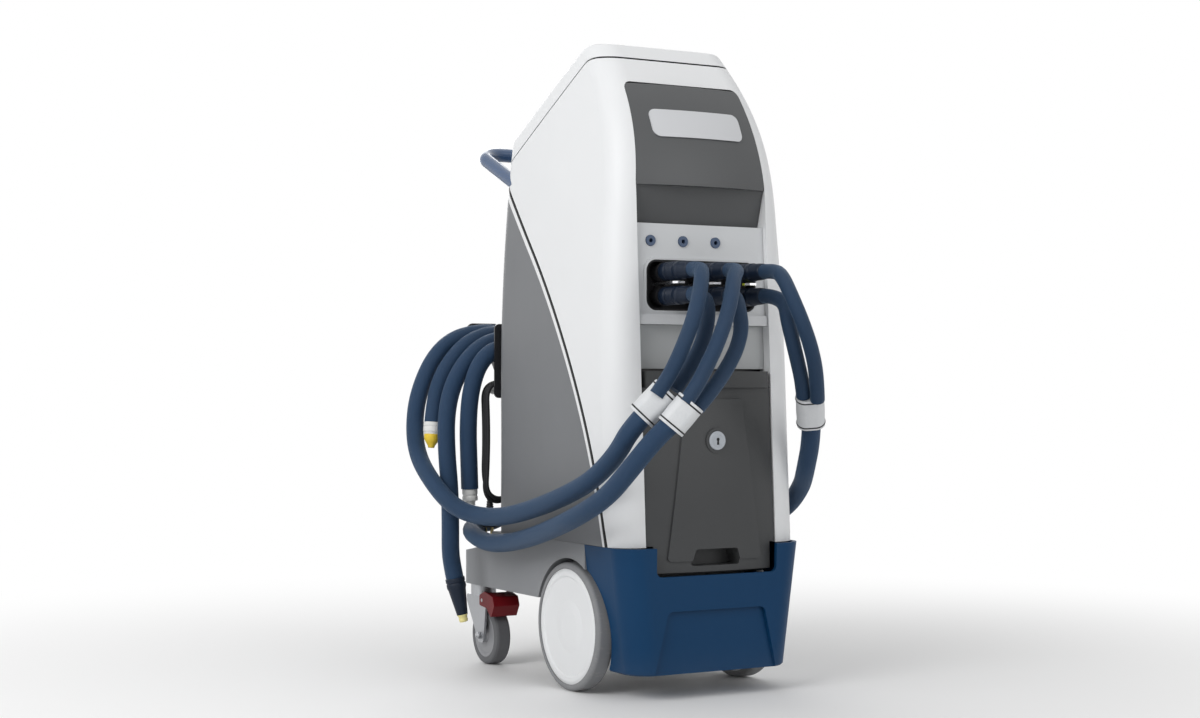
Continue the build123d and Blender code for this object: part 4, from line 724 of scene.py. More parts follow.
class Finish:
    """The finishes by name."""

    WHITE = Moulding("white_moulding", Tone.WHITE, grain=1500.0, depth=0.00005, clouding=0.02)
    SIDE = Moulding("side_grey_moulding", Tone.SIDE_GREY, grain=1100.0, depth=0.00009)
    COVER = Moulding("base_cover_moulding", Tone.COVER_GREY, grain=1100.0, depth=0.00009)
    FASCIA = Moulding("fascia_moulding", Tone.FASCIA_GREY, grain=1500.0, depth=0.00005, clouding=0.04)
    DRAWER = Moulding("reservoir_moulding", Tone.DRAWER_GREY, grain=1300.0, depth=0.00008, clouding=0.06)
    PANEL = Moulding("port_panel_moulding", Tone.PANEL_GREY, grain=1500.0, depth=0.00005, clouding=0.02)
    LOWER = Moulding("lower_panel_moulding", Tone.LOWER_GREY, grain=1500.0, depth=0.00005, clouding=0.03)
    BUMPER = Moulding("bumper_moulding", Tone.BUMPER_BLUE, grain=1000.0, depth=0.00008, shine=0.16)
    NAVY = Moulding("connector_moulding", Tone.NAVY, grain=1600.0, depth=0.00005)
    BLACK = Moulding("black_moulding", Tone.BLACK, grain=1500.0)
    WELL = Moulding("well_moulding", Tone.BLACK, Gloss.MATT, grain=1200.0, depth=0.00009)
    JACK = Moulding("jack_moulding", Tone.JACK_BLUE, Gloss.POLISHED, grain=1800.0, depth=0.00003)
    BUTTON = Moulding(
        "button_moulding", Tone.BUTTON, Gloss.POLISHED, grain=1800.0, depth=0.00003, clouding=0.03,
    )
    BADGE = Moulding(
        "badge_moulding", Tone.BADGE, Gloss.POLISHED, grain=1800.0, depth=0.00003, clouding=0.03, coat=0.4,
    )
    WHEEL = Moulding("wheel_moulding", Tone.WHITE, grain=1200.0, clouding=0.03)
    RED = Moulding("pedal_moulding", Tone.RED, grain=1200.0)
    END_WHITE = Moulding("fitting_white", Tone.FITTING_WHITE, grain=1500.0, depth=0.00004)
    END_YELLOW = Moulding("fitting_yellow", Tone.YELLOW, grain=1500.0, depth=0.00004)
    END_PALE = Moulding("fitting_pale_yellow", Tone.PALE_YELLOW, grain=1500.0, depth=0.00004)
    # The cap gasket fills the seam gap between the cap and the housing; its near-black colour is painted
    # shadow of that gap.
    GASKET = Moulding("gasket_painted_gap_shadow", Tone.PAINTED_GAP_SHADOW, Gloss.MATT, grain=1500.0, depth=0.00005, shine=0.1)
    TYRE = Tread("tyre_rubber", Tone.TYRE)
    HANDLE = Lacquer("handle_paint", Tone.HANDLE_BLUE)
    CHASSIS = Lacquer("chassis_paint", Tone.CHASSIS_GREY, Gloss.SATIN)
    COMPRESSOR = Lacquer("compressor_paint", Tone.COMPRESSOR_BLACK)
    HOOK = Lacquer("hook_paint", Tone.HOOK_BLACK)
    ZINC = Sheeting("zinc_plate", Tone.ZINC)
    STEEL = Sheeting("drawn_steel", Tone.STEEL, Gloss.POLISHED, drawn=(0.06, 1.0, 1.0))
    SHEET = Sheeting("folded_sheet", Tone.FOLDED_SHEET, drawn=(1.0, 0.08, 1.0), lines=700.0)
    BRASS = Sheeting("pin_brass", Tone.BRASS, Gloss.POLISHED)
    CARD = CardFinish()
    TANK = TankFinish()
    FINS = FinFinish()
    BOARD = BoardFinish()
    STRIP = StripFinish()
    SCREEN = ScreenFinish(slope=math.radians(31.0), middle=(0.024, 0.9621), half=(0.1112, 0.0792))
    HOSE = Sleeve("hose_sleeve", Tone.HOSE_BLUE, threads=36.0, rows=820.0, depth=0.0005)
    BRANCH = Sleeve("branch_sleeve", Tone.BRANCH_BLUE, threads=28.0, rows=110.0, depth=0.0004)
    LEAD = Sleeve("lead_jacket", Tone.BLACK, threads=6.0, rows=240.0, depth=0.00004, sheen=0.0)


NODE_FINISHES: dict[Coating, tuple[str, ...]] = {
    Finish.WHITE: ("front_housing", "top_cap"),
    Finish.SIDE: ("side_panel_left", "side_panel_right", "rear_panel"),
    Finish.COVER: ("base_cover",),
    Finish.FASCIA: ("upper_fascia",),
    Finish.DRAWER: ("reservoir_front", "reservoir_grip"),
    Finish.PANEL: ("port_panel",),
    Finish.LOWER: ("lower_panel",),
    Finish.BUMPER: ("front_bumper",),
    Finish.BLACK: ("mains_inlet", "power_rocker", "cooling_fan", "circulation_pumps"),
    Finish.WELL: ("port_well", "fan_shroud"),
    Finish.JACK: ("probe_jacks",),
    Finish.BUTTON: ("reservoir_latch_button",),
    Finish.BADGE: ("badge_plate",),
    Finish.WHEEL: ("main_wheel_left", "main_wheel_right"),
    Finish.RED: ("brake_pedal_left", "brake_pedal_right"),
    Finish.GASKET: ("cap_gasket",),
    Finish.TYRE: ("main_tyre_left", "main_tyre_right"),
    Finish.HANDLE: ("push_handle",),
    Finish.CHASSIS: ("base_frame", "inner_frame"),
    Finish.COMPRESSOR: ("compressor",),
    Finish.HOOK: ("hose_hook",),
    Finish.ZINC: ("caster_fork_left", "caster_fork_right", "power_supply"),
    Finish.STEEL: ("axle", "heat_exchanger"),
    Finish.SHEET: ("water_manifold",),
    Finish.FINS: ("condenser",),
    Finish.BOARD: ("control_board",),
    Finish.TANK: ("reservoir_tank", "reservoir_lid"),
    Finish.STRIP: ("trim_strip_left", "trim_strip_right"),
    Finish.SCREEN: ("display",),
    LatchFinish("latch_steel"): ("release_latch_1", "release_latch_2"),
    LatchFinish("latch_steel_marked", True): ("release_latch_3",),
}


def middle_of(node: str) -> Vector:
    """The middle of a CAD node's box, in metres."""
    low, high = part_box(node)
    return (Vector(low) + Vector(high)) / 2.0


def dress_nodes() -> None:
    """Gives every CAD node that stays its finish."""
    finishes = dict(NODE_FINISHES)
    for side in ("left", "right"):
        middle = middle_of(f"caster_wheel_{side}")
        wheel = RolledFinish(f"caster_rubber_{side}", (middle.y, middle.z))
        finishes[wheel] = (f"caster_wheel_{side}",)
    for finish, names in finishes.items():
        for name in names:
            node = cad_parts[name]
            if not node.material_slots:
                node.data.materials.append(None)
            for place in node.material_slots:
                place.material = palette(finish)
        LOG.info("dressed %s", ", ".join(names))


def aim(start: Point, along: Vector, across: Vector = Vector((1.0, 0.0, 0.0))) -> Matrix:
    """A place whose Z runs along one direction and whose X is as near as it can be to another.

    Args:
        start: The place's origin.
        along: Direction of Z.
        across: Direction that X follows.

    Returns:
        The place as a matrix.
    """
    forward = along.normalized()
    side = (across - forward * across.dot(forward)).normalized()
    up = forward.cross(side)
    turn = Matrix((side, up, forward)).transposed().to_4x4()
    return Matrix.Translation(start) @ turn


def start_fresh() -> None:
    """Leaves nothing selected."""
    bpy.ops.object.select_all(action="DESELECT")


def pick(piece: bpy.types.Object) -> None:
    """Selects one piece alone and makes it the active one.

    Args:
        piece: The piece.
    """
    start_fresh()
    piece.select_set(True)
    bpy.context.view_layer.objects.active = piece


def bake() -> None:
    """Bakes the active piece's place, turn and scale into its mesh."""
    bpy.ops.object.transform_apply(location=True, rotation=True, scale=True)


def smooth() -> None:
    """Shades the active piece smooth, up to its sharper edges."""
    bpy.ops.object.shade_smooth_by_angle(angle=SMOOTH_ANGLE)


def called(name: str) -> bpy.types.Object:
    """Names the active piece and its mesh, and returns it."""
    piece = bpy.context.object
    piece.name = piece.data.name = name
    return piece


def settle(piece: bpy.types.Object, place: Matrix) -> None:
    """Moves a piece to its place and bakes that into its mesh.

    Args:
        piece: The piece.
        place: Its place.
    """
    pick(piece)
    piece.matrix_world = place @ piece.matrix_world
    bake()


def soften(piece: bpy.types.Object, width: float, segments: int = 2) -> None:
    """Rounds a piece's sharp edges and shades it smooth.

    Args:
        piece: The piece.
        width: Width of the rounding in metres.
        segments: Faces across the rounding.
    """
    pick(piece)
    edge = piece.modifiers.new("edge", "BEVEL")
    edge.width = width
    edge.segments = segments
    edge.limit_method = "ANGLE"
    edge.angle_limit = BEVEL_ANGLE
    bpy.ops.object.modifier_apply(modifier=edge.name)
    smooth()


def keep(piece: bpy.types.Object, finish: Coating, body: str) -> bpy.types.Object:
    """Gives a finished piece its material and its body.

    Args:
        piece: The piece.
        finish: Its finish.
        body: The body that it rides on.

    Returns:
        The piece.
    """
    piece.data.materials.clear()
    piece.data.materials.append(palette(finish))
    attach(piece, body)
    LOG.info("made %s", piece.name)
    return piece


def turned(name: str, profile: Sequence[tuple[float, float]], sides: int = 40) -> bpy.types.Object:
    """A round form along Z: a disc that is extruded and scaled step by step.

    Args:
        name: The piece's name.
        profile: Its steps as (radius, height), in metres.
        sides: Corners of the disc.

    Returns:
        The piece, at the origin.
    """
    start_fresh()
    radius, height = profile[0]
    bpy.ops.mesh.primitive_circle_add(
        vertices=sides, radius=radius, fill_type="NGON", location=(0, 0, height),
    )
    piece = called(name)
    bake()
    bpy.ops.object.mode_set(mode="EDIT")
    bpy.ops.mesh.select_all(action="SELECT")
    for (old, low), (new, high) in zip(profile, profile[1:]):
        bpy.ops.mesh.extrude_region_move(TRANSFORM_OT_translate={"value": (0.0, 0.0, high - low)})
        bpy.ops.transform.resize(value=(new / old, new / old, 1.0), center_override=(0.0, 0.0, high))
    bpy.ops.mesh.select_all(action="SELECT")
    bpy.ops.mesh.normals_make_consistent(inside=False)
    bpy.ops.object.mode_set(mode="OBJECT")
    return piece


def block(name: str, middle: Point, size: Point) -> bpy.types.Object:
    """A block to be cut and tapered, left in edit mode.

    Args:
        name: The piece's name.
        middle: Its middle.
        size: Its sizes on the three axes.

    Returns:
        The piece.
    """
    start_fresh()
    bpy.ops.mesh.primitive_cube_add(size=1.0, location=middle, scale=size)
    piece = called(name)
    bake()
    bpy.ops.object.mode_set(mode="EDIT")
    return piece


def choose(piece: bpy.types.Object, test: Callable[[Vector], bool]) -> None:
    """Selects, in edit mode, the vertices that pass a test of their place.

    Args:
        piece: The piece that is edited.
        test: Says of a vertex's place whether it is chosen.
    """
    bpy.ops.mesh.select_mode(type="VERT")
    bpy.ops.mesh.select_all(action="DESELECT")
    shape = bmesh.from_edit_mesh(piece.data)
    for corner in shape.verts:
        corner.select = bool(test(corner.co))
    shape.select_flush(True)
    bmesh.update_edit_mesh(piece.data)


def widen(piece: bpy.types.Object, half: float, seam: float = 0.0004) -> None:
    """Moves the two halves of a round form apart along X, so that its outline has two flat sides.

    Args:
        piece: The piece.
        half: How far each half is moved.
        seam: Vertices nearer to the middle than this stay.
    """
    pick(piece)
    bpy.ops.object.mode_set(mode="EDIT")
    for side in (-1.0, 1.0):
        choose(piece, lambda place, side=side: place.x * side > seam)
        bpy.ops.transform.translate(value=(side * half, 0.0, 0.0))
    bpy.ops.object.mode_set(mode="OBJECT")


def repeated(
    piece: bpy.types.Object, names: Sequence[str], shifts: Sequence[Point]
) -> list[bpy.types.Object]:
    """Copies of a piece, each with its own mesh and moved by its own shift.

    Args:
        piece: The piece, which is left as it is.
        names: The copies' names.
        shifts: How far each copy is from the piece.

    Returns:
        The copies.
    """
    copies = []
    for name, shift in zip(names, shifts):
        pick(piece)
        bpy.ops.object.duplicate(linked=False)
        copy = called(name)
        settle(copy, Matrix.Translation(shift))
        copies.append(copy)
    return copies


def route(name: str, points: Sequence[Point], diameter: float, finish: Coating) -> bpy.types.Object:
    """A tube along a smooth spline through a cord's control points.

    Args:
        name: The piece's name.
        points: The control points in metres.
        diameter: The tube's diameter.
        finish: Its finish.

    Returns:
        The curve.
    """
    curve = bpy.data.curves.new(name, "CURVE")
    curve.dimensions = "3D"
    curve.resolution_u = 10
    curve.bevel_depth = diameter / 2.0
    curve.bevel_resolution = 6
    curve.use_fill_caps = True
    spline = curve.splines.new("NURBS")
    spline.points.add(len(points) - 1)
    for spot, point in zip(spline.points, points):
        spot.co = (*point, 1.0)
    spline.order_u = 3
    spline.use_endpoint_u = True
    spline.use_smooth = True
    piece = bpy.data.objects.new(name, curve)
    bpy.context.scene.collection.objects.link(piece)
    curve.materials.append(palette(finish))
    return piece


@dataclass
class Studio:
    """The camera at the photograph's viewing angle, soft lights and a pale floor.

    Attributes:
        eye: The camera's place in metres.
        heading: How far the camera is turned, in degrees.
        lens: Focal length for a 36 mm wide sensor.
        rise: The picture's shift, as a share of its width.
        sensor: The sensor's width in millimetres.
        aim_at: What the lamps point at.
        ambient: Strength of the even light.
        lamps: Name, place, width in metres and power in watts of each lamp.
        floor_radius: Radius of the floor in metres.
        floor_drop: How far the floor lies below the wheels.
        fade: Where the floor starts and ends to turn white, in metres from the middle.
    """

    eye: Point = (-1.6626, -2.8566, 0.4857)
    heading: float = -29.5
    lens: float = 59.19
    rise: float = 0.0208
    sensor: float = 36.0
    aim_at: Point = (0.0, 0.0, 0.5)
    ambient: float = 0.40
    lamps: tuple[tuple[str, Point, float, float], ...] = (
        ("key", (-3.0, -1.2, 2.2), 2.2, 66.0),
        ("fill", (1.2, -3.4, 1.7), 2.6, 26.0),
        ("top", (0.0, 0.2, 3.2), 2.6, 9.0),
        ("rear", (0.8, 3.0, 1.8), 2.4, 30.0),
    )
    floor_radius: float = 9.0
    floor_drop: float = 0.0004
    fade: tuple[float, float] = (0.35, 1.9)

    def build(self) -> None:
        """Makes the camera, the lamps, the world and the floor."""
        lens = bpy.data.cameras.new("viewpoint")
        lens.lens, lens.sensor_width, lens.shift_y = self.lens, self.sensor, self.rise
        viewpoint = bpy.data.objects.new("viewpoint", lens)
        viewpoint.location = self.eye
        viewpoint.rotation_euler = (math.radians(90.0), 0.0, math.radians(self.heading))
        bpy.context.scene.collection.objects.link(viewpoint)
        bpy.context.scene.camera = viewpoint
        bpy.context.scene.view_settings.view_transform = "Standard"
        for name, place, width, power in self.lamps:
            lamp = bpy.data.lights.new(name, "AREA")
            lamp.shape, lamp.size, lamp.energy = "DISK", width, power
            holder = bpy.data.objects.new(name, lamp)
            holder.location = place
            holder.rotation_mode = "QUATERNION"
            holder.rotation_quaternion = (Vector(self.aim_at) - Vector(place)).to_track_quat("-Z", "Y")
            bpy.context.scene.collection.objects.link(holder)
        self.surround()
        self.floor()

    def surround(self) -> None:
        """White behind the object, and an even dim light from all round."""
        world = bpy.data.worlds.new("surround")
        world.use_nodes = True
        bpy.context.scene.world = world
        tree = world.node_tree
        back = tree.nodes["Background"]
        seen = tree.nodes.new("ShaderNodeLightPath")
        direct = tree.nodes.new("ShaderNodeMath")
        direct.operation = "MAXIMUM"
        either = tree.nodes.new("ShaderNodeMath")
        either.operation = "MAXIMUM"
        level = tree.nodes.new("ShaderNodeMapRange")
        level.inputs["To Min"].default_value = self.ambient
        level.inputs["To Max"].default_value = 1.0
        tree.links.new(seen.outputs["Is Camera Ray"], direct.inputs[0])
        tree.links.new(seen.outputs["Is Transmission Ray"], direct.inputs[1])
        tree.links.new(direct.outputs[0], either.inputs[0])
        tree.links.new(seen.outputs["Is Glossy Ray"], either.inputs[1])
        tree.links.new(either.outputs[0], level.inputs["Value"])
        tree.links.new(level.outputs[0], back.inputs["Strength"])
        back.inputs["Color"].default_value = (1.0, 1.0, 1.0, 1.0)

    def floor(self) -> None:
        """A pale floor that keeps the object's shadow and turns to white further out."""
        start_fresh()
        bpy.ops.mesh.primitive_circle_add(
            vertices=96, radius=self.floor_radius, fill_type="NGON", location=(0, 0, -self.floor_drop),
        )
        ground = called("studio_floor")
        bake()
        shader = Shader("studio_floor")
        x, y, _ = shader.axes()
        distance = (x ** 2.0 + y ** 2.0) ** 0.5
        away = distance.between(*self.fade)
        seen = shader.node("ShaderNodeLightPath", {}, {}, "Is Camera Ray")
        white = (1.0, 1.0, 1.0, 1.0)
        glow = shader.node("ShaderNodeEmission", {}, {"Color": white, "Strength": 1.0})
        shader.dress(Base_Color=(0.86, 0.86, 0.86), Roughness=0.8)
        bare = Signal(shader, shader.surface.outputs[0])
        blend = shader.node("ShaderNodeMixShader", {}, {0: away * seen, 1: bare, 2: glow})
        shader.tree.links.new(blend.socket, shader.tree.nodes["Material Output"].inputs["Surface"])
        ground.data.materials.append(shader.material)


class HoseEnd(Enum):
    """What closes a hose."""

    PLAIN = "white"
    CAPPED = "capped"
    TAPERED = "tapered"


@dataclass(frozen=True)
class EndShape:
    """The two turned pieces that close a hose.

    Attributes:
        collar: Steps of the collar as (radius, distance past the hose's end), in metres.
        tip: Steps of the tip.
        collar_finish: The collar's finish.
        tip_finish: The tip's finish.
    """

    collar: tuple[tuple[float, float], ...]
    tip: tuple[tuple[float, float], ...]
    collar_finish: Coating
    tip_finish: Coating


END_SHAPES = {
    HoseEnd.PLAIN: EndShape(
        collar=(
            (0.0125, -0.004), (0.0133, -0.003), (0.0133, 0.009), (0.0122, 0.010), (0.0122, 0.012),
            (0.0133, 0.013), (0.0133, 0.0200), (0.0100, 0.0210),
        ),
        tip=(
            (0.0090, 0.018), (0.0090, 0.0245), (0.0082, 0.0250), (0.0082, 0.0262), (0.0090, 0.0267),
            (0.0090, 0.0282), (0.0066, 0.0282), (0.0062, 0.0240),
        ),
        collar_finish=Finish.END_WHITE,
        tip_finish=Finish.END_WHITE,
    ),
    HoseEnd.CAPPED: EndShape(
        collar=(
            (0.0150, -0.004), (0.0160, -0.003), (0.0160, 0.003), (0.0152, 0.0036), (0.0152, 0.0052),
            (0.0160, 0.0058), (0.0160, 0.0120), (0.0140, 0.0142), (0.0134, 0.0180),
        ),
        tip=(
            (0.0132, 0.016), (0.0138, 0.0175), (0.0132, 0.0255), (0.0100, 0.0310), (0.0066, 0.0360),
            (0.0052, 0.0403),
        ),
        collar_finish=Finish.END_WHITE,
        tip_finish=Finish.END_YELLOW,
    ),
    HoseEnd.TAPERED: EndShape(
        collar=(
            (0.0153, -0.004), (0.0165, -0.003), (0.0165, 0.003), (0.0156, 0.0036), (0.0156, 0.0054),
            (0.0165, 0.0060), (0.0165, 0.0120), (0.0150, 0.0160), (0.0118, 0.0400), (0.0092, 0.0600),
        ),
        tip=(
            (0.0090, 0.0585), (0.0094, 0.0600), (0.0080, 0.0620), (0.0072, 0.0660), (0.0078, 0.0675),
            (0.0078, 0.0690), (0.0066, 0.0723),
        ),
        collar_finish=Finish.NAVY,
        tip_finish=Finish.END_PALE,
    ),
}


@dataclass
class Hose:
    """One twin hose: two branches from its ports, a bare label, the main hose and its end.

    Attributes:
        name: The hose's letter.
        branches: Control points of its two branches, the upper one first.
        main: Control points of the hose itself.
        label: The label's two ends.
        broad: Direction across the label's broad side.
        end: What closes it.
        branch_lengths: Lengths of the branches in metres.
        length: Length of the hose itself in metres; not used.
        width: Diameter of the hose itself.
        branch_width: Diameter of a branch.
        sleeve_half: Half of the label's thickness.
        sleeve_spread: How far the label's round edges are from its middle.
        band: Width of a black band round the label.
        band_inset: How far a band lies from the label's end.
    """

    name: str
    branches: tuple[Sequence[Point], Sequence[Point]]
    main: Sequence[Point]
    label: tuple[Point, Point]
    broad: Point
    end: HoseEnd
    branch_lengths: tuple[float, float]
    length: float
    width: float = 0.030
    branch_width: float = 0.023
    sleeve_half: float = 0.016
    sleeve_spread: float = 0.0065
    band: float = 0.0024
    band_inset: float = 0.0042

    def sleeve(self) -> bpy.types.Object:
        """The bare white label: a soft card sleeve with flat sides and slightly rolled edges.

        Returns:
            The label.
        """
        start, end = (Vector(point) for point in self.label)
        span = (end - start).length
        half = self.sleeve_half
        rim = [(half - 0.0016, 0.0010), (half - 0.0008, 0.0), (half - 0.0002, 0.0004), (half, 0.0030)]
        creases = [(half - 0.0004, span * 0.25), (half - 0.0001, span * 0.5), (half - 0.0005, span * 0.78)]
        profile = rim + creases + [(radius, span - height) for radius, height in reversed(rim)]
        piece = turned(f"hose_{self.name}_label", profile, 48)
        widen(piece, self.sleeve_spread)
        settle(piece, aim(start, end - start, Vector(self.broad)))
        soften(piece, 0.0003)
        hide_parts("hose_labels")
        return keep(piece, Finish.CARD, "root")

    def cuff(self, upper: bool) -> bpy.types.Object:
        """A thin black band round the label near one of its ends.

        Args:
            upper: True for the band on the branches' side.

        Returns:
            The band.
        """
        start, end = (Vector(point) for point in self.label)
        axis = (end - start).normalized()
        offset = self.band_inset if upper else (end - start).length - self.band_inset - self.band
        half = self.sleeve_half
        edge = [(half - 0.0010, 0.0), (half + 0.0002, 0.0), (half + 0.0005, 0.0004)]
        profile = edge + [(radius, self.band - height) for radius, height in reversed(edge)]
        piece = turned(f"hose_{self.name}_{'upper' if upper else 'lower'}_band", profile, 48)
        widen(piece, self.sleeve_spread)
        settle(piece, aim(start + axis * offset, axis, Vector(self.broad)))
        smooth()
        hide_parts("hose_labels")
        return keep(piece, Finish.BLACK, "root")

    def fitting(self) -> list[bpy.types.Object]:
        """The end's pieces, in line with the hose's last run.

        Returns:
            The collar and the tip.
        """
        last, before = Vector(self.main[-1]), Vector(self.main[-2])
        place = aim(last, last - before)
        shape = END_SHAPES[self.end]
        parts = (("collar", shape.collar, shape.collar_finish), ("tip", shape.tip, shape.tip_finish))
        made = []
        for part, profile, finish in parts:
            piece = turned(f"hose_{self.name}_{part}", profile, 36)
            settle(piece, place)
            soften(piece, 0.0004)
            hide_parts("hose_ends")
            made.append(keep(piece, finish, "root"))
        return made

    def build(self) -> None:
        """Makes the hose: its label, its bands, its branches, its end and the hose itself."""
        label = self.sleeve()
        bands = [self.cuff(True), self.cuff(False)]
        for number, (points, length) in enumerate(zip(self.branches, self.branch_lengths), 1):
            piece = route(f"hose_{self.name}_branch_{number}", points, self.branch_width, Finish.BRANCH)
            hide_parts("hose_branches")
            keep(piece, Finish.BRANCH, "root")
        ends = self.fitting()
        piece = route(f"hose_{self.name}_run", self.main, self.width, Finish.HOSE)
        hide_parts(f"hose_{self.name}_main")
        keep(piece, Finish.HOSE, "root")


@dataclass
class Connectors:
    """Six ribbed hose connectors in the port well.

    Attributes:
        columns: The columns' X in metres.
        rows: The rows' Z in metres.
        mouth_y: Where the sockets' mouths are.
        front_y: Where the hoses leave the connectors.
        radius: The connectors' radius.
        groove: Depth of the groove and of the step to the sleeve.
        neck: Radius of the part inside the socket.
        hose: Radius at the hose's end.
        ribs: How many ribs there are.
        rib_pitch: Distance between two ribs.
    """

    columns: tuple[float, ...] = (-0.066, 0.0, 0.066)
    rows: tuple[float, ...] = (0.622, 0.660)
    mouth_y: float = -0.2406
    front_y: float = -0.318
    radius: float = 0.0145
    groove: float = 0.0016
    neck: float = 0.0117
    hose: float = 0.0120
    ribs: int = 5
    rib_pitch: float = 0.0040

    def profile(self) -> list[tuple[float, float]]:
        """Steps from the socket's mouth to the hose.

        Returns:
            The steps of the neck, a collar, a groove, ribs and a tapered sleeve.
        """
        full, waist, length = self.radius, self.radius - self.groove, self.mouth_y - self.front_y
        steps = [(self.neck, -0.0150), (self.neck, 0.0), (full - 0.0006, 0.0), (full, 0.0006)]
        steps += [(full, 0.0150), (waist, 0.0156), (waist, 0.0190), (full, 0.0196)]
        reach = 0.0196
        for _ in range(self.ribs):
            steps += [
                (full, reach + 0.0022), (full - 0.0007, reach + 0.0026), (full - 0.0007, reach + 0.0036),
                (full, reach + self.rib_pitch),
            ]
            reach += self.rib_pitch
        steps += [
            (full, reach + 0.0100), (full - 0.0012, reach + 0.0120), (full - 0.0012, length - 0.0100),
            (waist, length - 0.0080), (self.hose + 0.0006, length - 0.0020), (self.hose, length),
        ]
        return steps

    def build(self) -> None:
        """Makes one connector and copies it to the other ports."""
        first = turned("hose_connector_1", self.profile(), 36)
        places = [(x, z) for x in self.columns for z in self.rows]
        home = places[0]
        settle(first, aim(Vector((home[0], self.mouth_y, home[1])), Vector((0.0, -1.0, 0.0))))
        soften(first, 0.0003, 1)
        names = [f"hose_connector_{number}" for number in range(2, len(places) + 1)]
        shifts = [(x - home[0], 0.0, z - home[1]) for x, z in places[1:]]
        for piece in [first, *repeated(first, names, shifts)]:
            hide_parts("hose_connectors")
            keep(piece, Finish.NAVY, "root")


